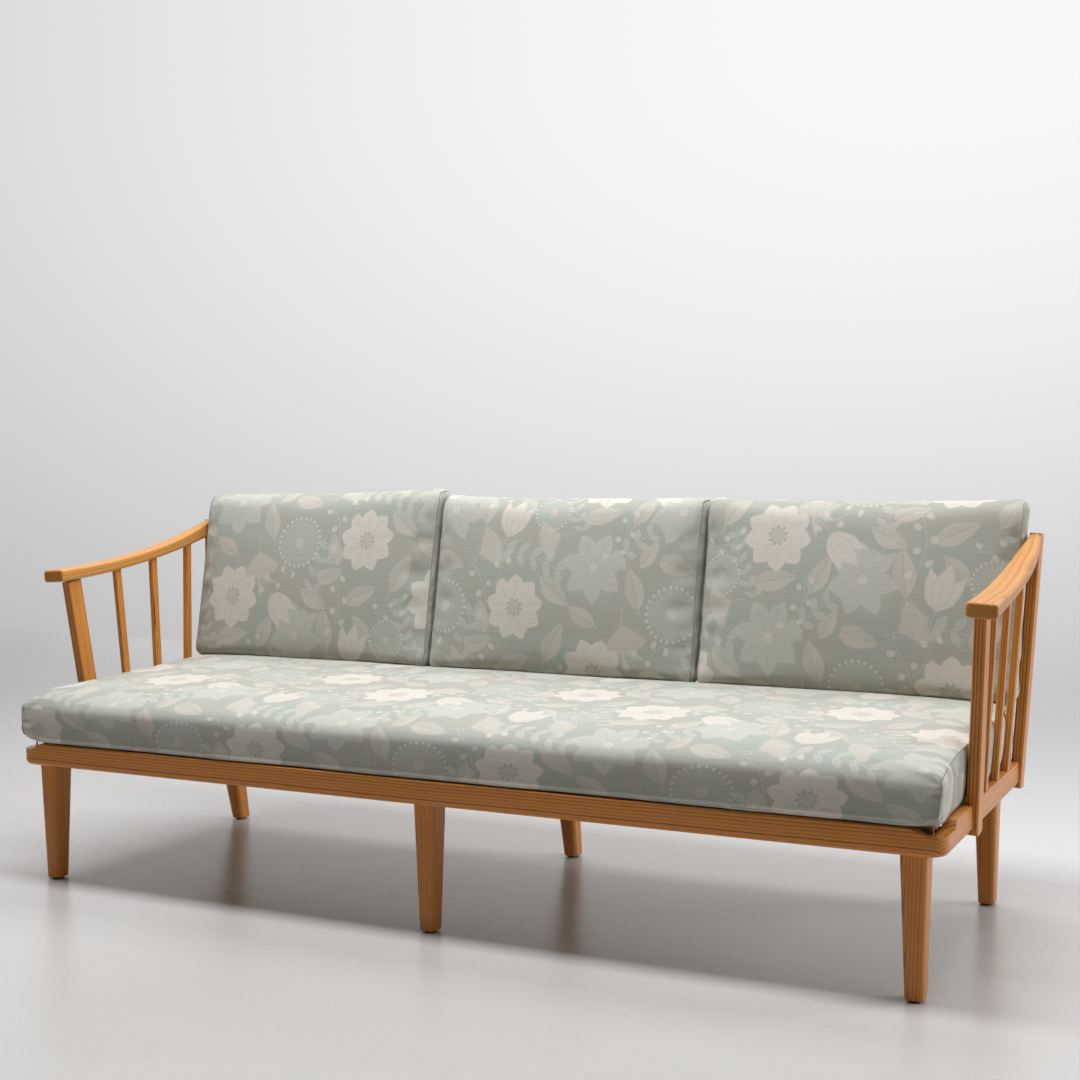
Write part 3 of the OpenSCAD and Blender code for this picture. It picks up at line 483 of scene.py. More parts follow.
def tulip(s):
    """Half-open flower: three petals that share a foot, on a stem with two narrow leaves."""
    best = None
    for lean, reach, wide in ((24, 78, 15), (-24, 78, 15), (0, 86, 18)):
        cosine, sine = math.cos(rad(lean)), math.sin(rad(lean))
        along, across = s.x * cosine + s.y * sine, s.y * cosine - s.x * sine
        t = (along * (2 / reach) - 1).past_ends()
        edge = t.bow() * (t * -0.25 + 1) * wide - across.abs()
        rim = (edge - 1.6).line(0.45)
        rib = across.line(0.5) * along.under(reach * 0.6, 2.0)
        shape = edge.inside() * (rim * -0.6 + 1) * (rib * -0.5 + 1)
        best = shape if best is None else (best * (edge.inside() * -1 + 1)).most(shape)
    stem = s.y.line(1.0, SOFT) * (s.x * -1).inside() * (s.x + 62).inside()
    low_x, low_y = s.x + 34, s.y.abs() - 13
    u, v = low_x * 0.86 + low_y * 0.5, low_y * 0.86 - low_x * 0.5
    leaf = ((u / 26).past_ends().bow() * 5.5 - v.abs()).inside()
    return {"cream": best * 0.92, "pale": stem.most(leaf)}


def star(s):
    """Open flower of seven pointed petals, each with a stitched line inside its rim."""
    edge, along, across = petals(s, count=7, inner=5, reach=72, width=40, full=-0.1)
    petal = edge.inside()
    inner = (edge - 4.2).line(0.6) * ((along / 4.0).fract() - 0.35).inside(0.2)
    vein = across.line(0.55) * along.under(58, 3.0)
    heart = s.r.under(9)
    grain = ((along / 5.2 + across.abs() / 9).fract() - 0.6).inside(0.3) * (edge - 5).inside(1.0)
    stitch = dashed(edge, 3.2, along + across.abs(), 4.4) * 0.8
    return {"pale": petal * (vein * -0.8 + 1) * (inner * -1 + 1) * (grain * -0.25 + 1),
            "cream": heart.most(inner * 0.55) * 0.8,
            "blush": (petal * (grain * -0.5 + 1) * (vein * -1 + 1) * 0.3).most(stitch)}


# Each motif of the print, with its places in millimetres on the repeat, its turns and its sizes
LAYOUT = [
    (daisy, [(90, 100, 10, 1.08), (284, 398, 31, 1.12)]),
    (star, [(277, 190, 14, 1.08), (470, 312, 40, 1.04)]),
    (clock, [(463, 96, 0, 1.16), (162, 312, 5, 0.86)]),
    (tulip, [(56, 254, 74, 1.12), (396, 404, -46, 1.05)]),
    (fan, [(190, 258, 200, 0.95), (352, 72, -78, 1.12), (548, 214, 28, 1.05)]),
    (broad_leaf, [(186, 136, -40, 1.06), (188, 28, 62, 1.1), (374, 148, 108, 1.06), (286, 306, 12, 1.1),
                  (382, 320, 62, 1.0), (552, 330, 98, 1.15), (6, 74, 100, 1.0), (88, 408, 24, 1.06),
                  (466, 198, -16, 1.06), (520, 396, -28, 1.0), (254, 86, 150, 0.9), (92, 336, 132, 0.86),
                  (560, 20, 20, 0.9), (404, 222, 60, 0.8)]),
    (branch, [(112, 196, -14, 0.96), (400, 246, 34, 0.86), (532, 8, 78, 0.9), (220, 340, 112, 0.72)]),
    (berry_twig, [(24, 160, 62, 0.9), (394, 20, 18, 0.92), (550, 138, 112, 0.96), (330, 262, 70, 0.86),
                  (14, 384, 88, 0.96), (180, 392, 20, 0.8)]),
]
COTTON = {"Sheen Weight": 0.2, "Sheen Roughness": 0.5, "Specular IOR Level": 0.28}
# Inks in their order, with their colours and how well each covers
INKS = (("pale", PALE, 0.85), ("blush", BLUSH, 0.88), ("cream", CREAM, 0.95))
WEAVE_RELIEF = 0.0004


def fabric(name):
    """Woven cotton with a foliage print. Its print follows the cover's own cut, in the layer "print"."""
    material, tree, shader = new_material(name, 0.86, **COTTON)
    uv = node_of(tree, "ShaderNodeUVMap", uv_map="print").outputs[0]
    print_mm = vector_math("MULTIPLY", uv, (TO_MM, TO_MM, 0))
    # The print sways by up to 3 mm either way
    sway = node_of(tree, "ShaderNodeTexNoise")
    feed(sway, "Vector", print_mm)
    feed(sway, "Scale", 0.03)
    shifted = vector_math("MULTIPLY_ADD", sway.outputs["Color"], (6, 6, 0), print_mm)
    masks = {}
    for motif, places in LAYOUT:
        for ink, mask in motif(Spot(tree, shifted, places)).items():
            masks[ink] = masks[ink].most(mask) if ink in masks else mask
    weft = stretched_noise(print_mm, (0.045, 1.5, 1), 3.0, 0.7)
    slub = stretched_noise(print_mm, (0.012, 0.42, 1), 2.0, 0.6)
    warp = stretched_noise(print_mm, (2.2, 0.1, 1))
    speck = noise_of(print_mm, 0.7, 2.0, 0.7)
    cast = stretched_noise(print_mm, (0.006, 0.011, 1))
    color = mixed(tree, (cast - 0.32).times(2.4), SAGE, DRY)
    for ink, tone, cover in INKS:
        share = masks[ink] * cover * ((speck - 0.5) * -0.7 + 1)
        color = mixed(tree, share.least(1.0), color, tone)
    color = shaded(color, (weft - 0.5) * 0.34 + (slub - 0.5) * 0.26 + (warp - 0.5) * 0.1)
    feed(shader, "Base Color", color)
    feed(shader, "Normal", bump(weft * 0.55 + warp * 0.35, WEAVE_RELIEF, 0.5))
    return material


def new_object(name, mesh):
    piece = bpy.data.objects.new(name, mesh)
    scene.collection.objects.link(piece)
    return piece


def smooth(mesh):
    mesh.polygons.foreach_set("use_smooth", [True] * len(mesh.polygons))


def mesh_from(bm, name):
    mesh = bpy.data.meshes.new(name)
    bm.to_mesh(mesh)
    bm.free()
    return mesh


def apply_modifiers(piece):
    """Keeps the evaluated mesh as the piece's own and drops the modifiers."""
    depsgraph = bpy.context.evaluated_depsgraph_get()
    mesh = bpy.data.meshes.new_from_object(piece.evaluated_get(depsgraph), depsgraph=depsgraph)
    piece.modifiers.clear()
    old = piece.data
    piece.data = mesh
    mesh.name = piece.name
    bpy.data.meshes.remove(old)


def tube(name, path, radius, sides=8):
    """Round cord along a closed path of points."""
    bm = bmesh.new()
    count = len(path)
    rings = []
    for i, point in enumerate(path):
        ahead = (path[(i + 1) % count] - path[i - 1]).normalized()
        out = Vector((1, 0, 0)) - ahead * ahead.x
        out = out.normalized() if out.length > 0.05 else ahead.orthogonal().normalized()
        across = ahead.cross(out)
        rings.append([bm.verts.new(point + (out * math.cos(a) + across * math.sin(a)) * radius)
                      for a in (2 * math.pi * k / sides for k in range(sides))])
    for i in range(count):
        for k in range(sides):
            j, m = (i + 1) % count, (k + 1) % sides
            bm.faces.new((rings[i][k], rings[i][m], rings[j][m], rings[j][k]))
    bmesh.ops.recalc_face_normals(bm, faces=bm.faces)
    mesh = mesh_from(bm, name)
    smooth(mesh)
    return new_object(name, mesh)


def held(value, low=0, high=1):
    return min(max(value, low), high)


def fading(distance, reach):
    """1 at no distance, down to 0 at the reach."""
    return max(1 - distance / reach, 0)


# Grid of a cover: cells of the middle in millimetres, cells in each edge band, and the band's width
# against the edge's rounding
CELL, EDGE_CELLS, EDGE_BAND = 12.0, 4, 1.4
# Where the print starts on the panels at a cushion's two ends
END_PRINT, END_PRINT_Z = (97, 10), -22
CLOTH_STEPS, CLOTH_QUALITY = 20, 6
CLOTH_GROWTH, CLOTH_STIFFNESS = 0.025, 5.0


def spread(length, band):
    """Places from 0 to a length: fine cells in a band at each end and coarser ones between."""
    edge = [band * k / EDGE_CELLS for k in range(EDGE_CELLS)]
    middle = length - 2 * band
    count = max(1, round(middle / CELL))
    return (edge + [band + middle * k / count for k in range(count)]
            + [length - e for e in reversed(edge + [band])])


class Cushion:
    """A padded box on a grid that follows its cover's cut, so that seams and print keep their places.

    Its grid runs along x, through its thickness or depth y and up z, in millimetres. The cover is
    one cloth wrapped round front, top, rear and bottom, and a panel at each end."""

    def __init__(self, name, size, round_mm, shape, print_at):
        self.size, self.shape, self.round = size, shape, round_mm
        self.grid = [spread(size[k], round_mm[k] * EDGE_BAND) for k in range(3)]
        self.index = {}
        bm = bmesh.new()
        last = self.last = [len(g) - 1 for g in self.grid]
        for i, j, k in product(*(range(n + 1) for n in last)):
            if i in (0, last[0]) or j in (0, last[1]) or k in (0, last[2]):
                self.index[i, j, k] = len(bm.verts)
                bm.verts.new(self.point(i, j, k))
        bm.verts.ensure_lookup_table()
        layer = bm.loops.layers.uv.new("print")
        for axis in range(3):
            u, v = [a for a in range(3) if a != axis]
            for end, a, b in product((0, last[axis]), range(last[u]), range(last[v])):
                corners = []
                for da, db in ((0, 0), (1, 0), (1, 1), (0, 1)):
                    key = [0, 0, 0]
                    key[axis], key[u], key[v] = end, a + da, b + db
                    corners.append(tuple(key))
                if (end == 0) == (axis != 1):
                    corners.reverse()
                face = bm.faces.new([bm.verts[self.index[c]] for c in corners])
                for loop, c in zip(face.loops, corners):
                    loop[layer].uv = self.cut(axis, end, c, print_at)
        bmesh.ops.recalc_face_normals(bm, faces=bm.faces)
        mesh = mesh_from(bm, name)
        smooth(mesh)
        self.piece = new_object(name, mesh)

    def point(self, i, j, k):
        """Point of the rounded box, in the shape's own place."""
        p = [self.grid[a][n] for a, n in enumerate((i, j, k))]
        inner = [held(p[a], self.round[a], self.size[a] - self.round[a]) for a in range(3)]
        off = Vector([(p[a] - inner[a]) / self.round[a] for a in range(3)])
        if off.length > 1e-6:
            off = off.normalized() * max(abs(c) for c in off)
        return self.shape(*(inner[a] + off[a] * self.round[a] for a in range(3)))

    def cut(self, axis, end, key, print_at):
        """Place on the flat cloth, in metres."""
        x, y, z = (self.grid[a][n] for a, n in enumerate(key))
        depth, height = self.size[1], self.size[2]
        if axis == 0:
            u, v = y + END_PRINT[1 if end else 0], z + END_PRINT_Z
        elif axis == 1:
            u, v = x, z if end == 0 else 2 * height + depth - z
        else:
            u, v = x, height + y if end else -y
        return ((u + print_at[0]) * MM, (v + print_at[1]) * MM)

    def rim(self, end):
        """Vertex numbers round one end panel, in order."""
        _, ny, nz = self.last
        i = self.last[0] if end else 0
        loop = ([(i, j, 0) for j in range(ny)] + [(i, ny, k) for k in range(nz)]
                + [(i, j, nz) for j in range(ny, 0, -1)] + [(i, 0, k) for k in range(nz, 0, -1)])
        return [self.index[key] for key in loop]

    def swell(self, pressure, cap, keep):
        """Blows the cover up as cloth, holds its end seams, and limits how far it moves."""
        piece = self.piece
        start = [v.co.copy() for v in piece.data.vertices]
        seams = piece.vertex_groups.new(name="seams")
        seams.add(self.rim(0) + self.rim(1), 1.0, "REPLACE")
        cloth = piece.modifiers.new("Cloth", "CLOTH")
        settings = cloth.settings
        settings.quality = CLOTH_QUALITY
        settings.use_pressure = True
        settings.uniform_pressure_force = pressure
        settings.effector_weights.gravity = 0
        settings.vertex_group_mass = "seams"
        settings.shrink_min = -CLOTH_GROWTH
        settings.bending_stiffness = CLOTH_STIFFNESS
        cloth.collision_settings.use_collision = False
        cloth.point_cache.frame_end = CLOTH_STEPS
        for step in range(1, CLOTH_STEPS + 1):
            scene.frame_set(step)
        depsgraph = bpy.context.evaluated_depsgraph_get()
        blown = piece.evaluated_get(depsgraph).data
        moved = [v.co.copy() for v in blown.vertices]
        piece.modifiers.clear()
        scene.frame_set(1)
        for vertex, a, b in zip(piece.data.vertices, start, moved):
            away = b - a
            if away.length > cap:
                away *= cap / away.length
            vertex.co = keep(a, a + away)

    def refine(self):
        """Subdivides the cover once. Returns the points of its two end seams."""
        sub = self.piece.modifiers.new("Subdivision", "SUBSURF")
        sub.levels = 1
        sub.uv_smooth = "NONE"
        apply_modifiers(self.piece)
        smooth(self.piece.data)
        vertices = self.piece.data.vertices
        return [[vertices[n].co.copy() for n in self.rim(end)] for end in (0, 1)]


# Seat cushion: half its length, how far its free front ends swell and reach back, and its front roll's depth
SEAT_HALF, SEAT_PUFF, SEAT_FREE, SEAT_ROLL = 975.0, 6.0, 165, 75.0
SEAT_DEPTH = (-6.0, 673.5)
SEAT_FLOOR = 300.4
SEAT_FRONT, SEAT_BACK, SEAT_CROWN = 88.0, 107.0, 22.0
SEAT_ROUND = (13, 18.0, 18.0)
SEAT_TAPER, SEAT_DRAW, ROLL_DROP = 6, 3, 7
# Lift of the lower front corners, and sag behind the front rail beside the outer slats, where the foam
# hangs between x and y distances from the cushion's end and front
TIP_LIFT, TIP_REACH = 22, 60
HANG, HANG_X, HANG_Y = 12, (8, 62), (36, 128)
# Room beside a cushion, in metres
SIDE_ROOM = 0.0012


def seat_shape(x, y, z):
    """Wedge that rises to the back, with a crown that fades at its ends and edges."""
    across = x / SEAT_HALF - 1
    depth = SEAT_DEPTH[1] - SEAT_DEPTH[0]
    # The rear's lower edge is nearly square, as the cushion's weight presses it on the back rail
    edge = SEAT_ROUND[1]
    low, near = fading(z, edge), fading(depth - y, edge)
    square = 0.5 * min(low, near)
    z -= edge * low * square
    y += edge * near * square
    back = y / depth
    high = z / SEAT_BACK
    top = SEAT_FRONT + (SEAT_BACK - SEAT_FRONT) * back
    crown = SEAT_CROWN * (1 - abs(2 * back - 1) ** (4 if back < 0.5 else 8)) * (1 - 0.4 * abs(across) ** 7)
    draw = SEAT_DRAW * (1 - across * across) * (1 - back)
    free = held(1 - y / SEAT_FREE)
    half = SEAT_HALF + high * SEAT_TAPER + SEAT_PUFF * free * free * (3 - 2 * free)
    roll = fading(y, SEAT_ROLL) ** 2 * high ** 3 * ROLL_DROP
    inward = (1 - abs(across)) * SEAT_HALF
    tip = fading(inward, TIP_REACH) ** 2 * fading(y, TIP_REACH) ** 2 * TIP_LIFT
    hang = (held(min(inward - HANG_X[0], HANG_X[1] - inward) / 10)
            * held(min(y - HANG_Y[0], HANG_Y[1] - y) / 12) * HANG)
    return place(across * half, SEAT_DEPTH[0] + y + draw + roll,
                 SEAT_FLOOR + high * (top + crown * high) - roll + (1 - high) ** 3 * (tip - hang))


def keep_seat(start, moved):
    """Flat below, and clear of the posts and the back rail's spindles."""
    if start.z < (SEAT_FLOOR + 9) * MM:
        return start
    moved.x = start.x + held(moved.x - start.x, -SIDE_ROOM, SIDE_ROOM)
    moved.y = min(moved.y, FRONT_FACE + SEAT_DEPTH[1] * MM)
    return moved


# Back cushions: half a cushion's width, their pitch, and the heights of their foot and top
BACK_HALF, BACK_PITCH = 326.0, 655.0
BACK_REST, BACK_TOP, BACK_DEPTH = 425.6, 818.0, 80.6
REST_ANGLE = rad(11.6)
BACK_FRONT, BACK_LEAN = 580.0, math.tan(REST_ANGLE)
BACK_ROUND = (20, 28, 27)
# The top rail's upper front edge, in y and z, and the gap that a cushion keeps from it. Above the rail
# the cushion may swell over it.
REST_EDGE = (727.37, 732.8)
REST_GAP = 3.6 / math.cos(REST_ANGLE)
BACK_OVER = 9.0
# Crown of the front, the outer cushions' widening towards the arms, the sink of the foot into the seat, the
# drop of the top's middle, the draw of the sides, and the top's rolls at front and rear
BULGE, FLARE, WIDEN, SINK = 22.0, 6.0, 12.0, 8.0
TOP_DROP, SIDE_DRAW, TOP_ROLL, TOP_ROLL_BAND = 5, 3.0, (11, 7), 0.14
# Least and most that the cloth may rise, in metres
BACK_RISE = (-0.001, 0.0015)


def back_front(z):
    return BACK_FRONT + (z - BACK_REST) * BACK_LEAN


def back_rear(z):
    """The rear face leans like the front one and rests on the top rail's upper front edge."""
    return REST_EDGE[0] + (z - REST_EDGE[1]) * BACK_LEAN - REST_GAP


def back_shape(middle, lift, outer):
    """Shape of a back cushion at a place along the sofa. Its arm side is -1, 0 for none, or 1."""
    def shape(x, y, z):
        across = x / BACK_HALF - 1
        up = z / (BACK_TOP - BACK_REST)
        height = (BACK_REST + z + lift(across) * up - TOP_DROP * (1 - across * across) * up ** 6
                  - SINK * (1 - up) ** 3)
        full = (1 - abs(across) ** 3) * (1 - abs(2 * up - 1) ** 2)
        roll = max((up - (1 - TOP_ROLL_BAND)) / TOP_ROLL_BAND, 0) ** 2
        front = back_front(height) + BULGE * (0.6 - full) + roll * TOP_ROLL[0]
        rear = back_rear(height) - roll * TOP_ROLL[1]
        sides = SIDE_DRAW * (1 - abs(2 * up - 1) ** 2.5) * across ** 9
        flare = outer * (WIDEN + FLARE * up) * max(outer * across, 0) ** 3
        return place(middle + x - BACK_HALF - sides + flare,
                     front + (rear - front) * (y / BACK_DEPTH), height)
    return shape


def keep_back(start, moved):
    """Off the seat below, off its neighbours, and in front of the top rail up to its top."""
    moved.z = max(moved.z, (BACK_REST - SINK) * MM)
    moved.x = start.x + held(moved.x - start.x, -SIDE_ROOM, SIDE_ROOM)
    moved.z = start.z + held(moved.z - start.z, *BACK_RISE)
    height = moved.z * TO_MM
    over = held((height - REST_EDGE[1]) / 40) * BACK_OVER
    moved.y = min(moved.y, FRONT_FACE + (back_rear(height) + over) * MM)
    return moved


# How far folds reach from the end seams and how deep they are, in metres
SEAT_PUCKER, BACK_PUCKER = (0.022, 0.0024), (0.018, 0.0007)
UNEVEN = 0.0016
SEAM_RADIUS = 0.0013


def pucker(piece, rims, reach, depth, seed):
    """Gathers the cloth beside the end seams into short folds that run away from them."""
    points = [p for rim in rims for p in rim]
    tree = KDTree(len(points))
    for n, p in enumerate(points):
        tree.insert(p, n)
    tree.balance()
    normals = [v.normal.copy() for v in piece.data.vertices]
    for vertex, normal in zip(piece.data.vertices, normals):
        near, _, away = tree.find(vertex.co)
        if away > reach * 2.5:
            continue
        fold = noise.noise(Vector((near.y * 62 + seed, near.z * 62, near.x * 3)))
        fine = noise.noise(Vector((near.y * 150, near.z * 150 + seed, near.x * 3)))
        fade = math.exp(-away / reach) * min(away / 0.004, 1)
        vertex.co += normal * (fold * 1.6 + fine * 0.7) * depth * fade


def loosen(piece, seed):
    """Broad, faint unevenness of cloth over foam that has been sat on."""
    normals = [v.normal.copy() for v in piece.data.vertices]
    for vertex, normal in zip(piece.data.vertices, normals):
        p = vertex.co
        broad = noise.noise(Vector((p.x * 5.5 + seed, p.y * 6.5, p.z * 6.5)))
        fold = noise.noise(Vector((p.x * 17 + seed, p.y * 21, p.z * 21 + seed)))
        vertex.co += normal * (broad + fold * 0.35) * UNEVEN


def make_cushion(cushion, name, keep, pressure, cap, gather, nodes, seed):
    """Swells, refines and gathers a cushion's cover, adds its seams, and gives it its body and cloth."""
    body = name
    cushion.swell(pressure, cap, keep)
    rims = cushion.refine()
    loosen(cushion.piece, seed)
    pucker(cushion.piece, rims, *gather, seed)
    cushion.piece.data.materials.append(CLOTH)
    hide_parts(*nodes)
    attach(cushion.piece, body)
    for side, rim in zip(("left", "right"), rims):
        seam = tube(f"{name}_{side}_seam", rim, SEAM_RADIUS)
        seam.data.materials.append(SEAM_CLOTH_PAINTED_SHADE)
        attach(seam, body)


# Zips, in metres: teeth, slider, its pull, and the tape's section as places across and out
TOOTH = 0.0032
TOOTH_SIZE, TOOTH_OFF = (TOOTH * 0.62, 0.0026, 0.0013), (0.0007, 0.0008)
SLIDER_SIZE, SLIDER_AT, SLIDER_OUT = (0.0085, 0.0064, 0.0022), 8, 0.0012
PULL_SIZE, PULL_OFF = (0.018, 0.0036, 0.0009), (-0.011, 0.0004)
TAPE = ((-0.0052, -0.0012), (-0.005, 0), (-0.0014, 0.0003), (0, 0), (0.0014, 0.0003), (0.005, 0),
        (0.0052, -0.0012))
TAPE_RUCK, TAPE_OFF = 0.0003, 0.0004


def add_box(bm, middle, axes, size):
    """Small block with its top edges drawn in, as a moulded tooth has."""
    ring = []
    for level, shrink in ((-0.5, 1.0), (0.2, 1.0), (0.5, 0.72)):
        ring.append([bm.verts.new(middle + axes[0] * (a * size[0] * shrink / 2)
                                  + axes[1] * (b * size[1] * shrink / 2) + axes[2] * (level * size[2]))
                     for a, b in ((-1, -1), (1, -1), (1, 1), (-1, 1))])
    for low, high in zip(ring, ring[1:]):
        for k in range(4):
            bm.faces.new((low[k], low[(k + 1) % 4], high[(k + 1) % 4], high[k]))
    bm.faces.new(reversed(ring[0]))
    bm.faces.new(ring[-1])


def add_zip(node, cushion, out, body):
    """Zip along x on a cushion's outer face: woven tape, two rows of teeth, a slider and its pull."""
    low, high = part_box(node)
    middle = (low + high) / 2
    across = Vector((0, 0, 1)) if abs(out.y) > 0.5 else Vector((0, 1, 0))
    count = round((high.x - low.x) / TOOTH)
    path = []
    for n in range(count + 1):
        on_axis = Vector((low.x + (high.x - low.x) * n / count, middle.y, middle.z))
        hit, point, _, _ = cushion.ray_cast(on_axis + out * 0.05, -out, distance=0.1)
        path.append((point if hit else on_axis) + out * TAPE_OFF)
    bm = bmesh.new()
    rows = []
    for point in path:
        ruck = noise.noise(Vector((point.x * 60, 3, 1))) * TAPE_RUCK
        rows.append([bm.verts.new(point + across * y + out * (z + ruck)) for y, z in TAPE])
    for a, b in zip(rows, rows[1:]):
        for k in range(len(TAPE) - 1):
            bm.faces.new((a[k], a[k + 1], b[k + 1], b[k]))
    bmesh.ops.recalc_face_normals(bm, faces=bm.faces)
    axes = (Vector((1, 0, 0)), across, out)
    for n in range(count):
        side = 1 if n % 2 else -1
        add_box(bm, path[n] + across * (TOOTH_OFF[0] * side) + out * TOOTH_OFF[1], axes, TOOTH_SIZE)
    slider = path[SLIDER_AT] + out * SLIDER_OUT
    add_box(bm, slider, axes, SLIDER_SIZE)
    add_box(bm, slider + Vector((PULL_OFF[0], 0, 0)) + out * PULL_OFF[1], axes, PULL_SIZE)
    mesh = mesh_from(bm, node + "_strip")
    piece = new_object(node + "_strip", mesh)
    mesh.materials.append(ZIP_NYLON)
    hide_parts(node)
    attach(piece, body)


# Floor, in metres. Each set of arcs that polishing left has a centre, a pitch, and a place in the noise that
# breaks it up.
FLOOR_SIDE, FLOOR_FRONT, WALL_Y = 14, -12, 3.8 + FRONT_FACE
ARCS = ((0.9, -0.5, 0.083, 3.0), (-0.7, 0.9, 0.117, 9.0), (0.2, -1.9, 0.071, 17.0))
# Tone of the far floor, from the left to the right of the photograph's view
FAR_TONES = [(0.2, grey(188)), (0.38, grey(205)), (1.0, grey(200))]


def add_stage():
    """Pale polished floor that takes the wall's tone far from the sofa, and keeps the sofa's shadow."""
    bm = bmesh.new()
    for side, y in ((-1, FLOOR_FRONT), (1, FLOOR_FRONT), (1, WALL_Y), (-1, WALL_Y)):
        bm.verts.new((side * FLOOR_SIDE, y, 0))
    bm.faces.new(bm.verts)
    floor = new_object("floor", mesh_from(bm, "floor"))
    material, tree, shader = new_material("floor_paint", 0.3)
    where = places_of(tree, "Object")
    across, deep = reach_along(where, (1, 0, 0)), reach_along(where, (0, 1, 0))
    cloud = noise_of(where, 1.6, 3.0)
    wipe = stretched_noise(where, (2.0, 7.0, 1.0), 3.0)
    color = mixed(tree, cloud * 0.75 + wipe * 0.25, srgb(192, 189, 185), srgb(198, 196, 192))
    # The floor's colour grows paler towards the back: painted light behind the sofa
    color = mixed(tree, (deep - 0.2).times(0.5), color, grey(214))
    marks = (noise_of(where, 90.0, 0.0) - 0.83).inside(0.02)
    for x, y, pitch, seed in ARCS:
        off = vector_math("SUBTRACT", where, (x, y, 0))
        circle = ((length_of(off) / pitch).fract() - 0.5).abs() * pitch
        gate = noise_of(vector_math("ADD", where, (seed, 0, 0)), 2.6, 1.0)
        marks = marks.most(circle.under(0.0006, 0.0008) * (gate - 0.66).inside(0.06))
    color = mixed(tree, marks * 0.16, color, srgb(96, 90, 84))
    feed(shader, "Base Color", color)
    feed(shader, "Roughness", wipe * 0.03 + 0.26)
    # Far from the sofa the floor takes the wall's tone, for the eye alone
    shown = node_of(tree, "ShaderNodeEmission")
    feed(shown, "Color", ramp(across * 0.2 + deep.abs() * 0.18 + 0.5, FAR_TONES))
    fade = (deep - 0.9).most(deep * -0.8 - 1.1).most(across.abs() * 0.8 - 2.9).times(0.45)
    share = fade * eye_rays(node_of(tree, "ShaderNodeLightPath")) * 0.92
    feed(tree.nodes["Material Output"], "Surface", mixed_shaders(share, shader, shown))
    floor.data.materials.append(material)


# Lamps: name, place, what it points at, size and power
LAMPS = (("overhead", (-0.2, -0.42, 2.9), (-0.2, -0.36, 0.3), (3.8, 0.7), 96),
         ("rear", (-0.1, 1.1, 2.9), (-0.1, 0.3, 0.3), (4.2, 1.0), 34),
         ("side", (3.2, 1.2, 1.25), (0.0, 0.0, 0.35), (1.2, 1.2), 36))
LAMP_COLOR = (0.98, 1.0, 1.04)
# The room's light, from the dark side that the camera stands on to the pale wall
GLOW = [(0.2, srgb(35, 31, 27)), (0.55, srgb(70, 65, 58)), (0.95, srgb(188, 187, 187))]
GLOW_FROM = (0.15, 0.75, 0.55)
DARK_ROOM = srgb(96, 92, 88)


def add_light():
    """Pale wall for the eye, a softer room for the light, and three lamps."""
    world = bpy.data.worlds.new("studio")
    scene.world = world
    world.use_nodes = True
    tree = world.node_tree
    tree.nodes.clear()
    way = places_of(tree, "Generated")
    yaw = rad(CAMERA_YAW)
    # The wall is palest high up and falls off to the left and towards the floor
    high = reach_along(way, (0, 0, 1)).most(-0.3).least(0.24)
    wide = reach_along(way, (math.cos(yaw), math.sin(yaw), 0)).most(-0.5).least(0.5)
    level = (high * 0.566 - high * high * 1.19 + wide * 0.133 - wide * wide * 0.385 + high * wide * 0.265
             + 0.882).most(0.7).least(0.97).op("POWER", 2.2)
    pale = combine(level, level, level * 1.01)
    room = (reach_along(way, (0, -1, 0)) + 0.15).times(1.5)
    path = node_of(tree, "ShaderNodeLightPath")
    seen, glow = (node_of(tree, "ShaderNodeBackground") for _ in range(2))
    feed(seen, "Color", mixed(tree, room * Num(path.outputs["Is Glossy Ray"]), pale, DARK_ROOM))
    feed(glow, "Color", ramp(reach_along(way, GLOW_FROM) * 0.5 + 0.5, GLOW))
    both = mixed_shaders(eye_rays(path), glow, seen)
    feed(node_of(tree, "ShaderNodeOutputWorld"), 0, both)
    for name, spot, aim, size, power in LAMPS:
        data = bpy.data.lights.new(name, "AREA")
        data.shape = "RECTANGLE"
        data.size, data.size_y = size
        data.energy = power
        data.color = LAMP_COLOR
        lamp = bpy.data.objects.new(name, data)
        lamp.location = spot
        lamp.rotation_euler = (Vector(aim) - Vector(spot)).to_track_quat("-Z", "Y").to_euler()
        scene.collection.objects.link(lamp)


# How the members lean. Angles are in degrees and slopes are y over z.
ARM_SPLAY = math.tan(rad(3.4))
POST_SLOPES = {"front": -0.133, "rear": 0.069}
SPINDLE_LEAN, SPINDLE_STEP = -2.6, 3.9
REAR_LEG_SLOPE = -0.18
BACK_SLOPE = math.tan(rad(7.3))
ARMREST_SAG = (17.0, 274.0)
# Members with their own cut: direction of the grain, place of the pith, width of a year's ring, and tones
MEMBERS = {
    "front_rail": ((1, 0, 0), (34, -72), 6.0, HONEY),
    "back_rail": ((1, 0, 0), (-30, -90), 5.6, HONEY),
    "top_rail": ((1, 0.004, 0), (-40, 80), 5.0, HONEY),
    "left_side_rail": ((0, 1, 0), (-34, -70), 5.8, HONEY),
    "right_side_rail": ((0, 1, 0), (34, -72), 5.8, HONEY),
    "centre_rail": ((0, 1, 0), (-20, 40), 5.0, PLAIN),
    "left_armrest": ((0.01, 1, 0.157), (58, -76), 6.4, GOLDEN),
    "right_armrest": ((-0.01, 1, 0.157), (-60, -84), 7.2, GOLDEN),
    "rear_right_leg": ((0.05, REAR_LEG_SLOPE - 0.05, 1), (4, -58), 3.7, SMOOTH),
}


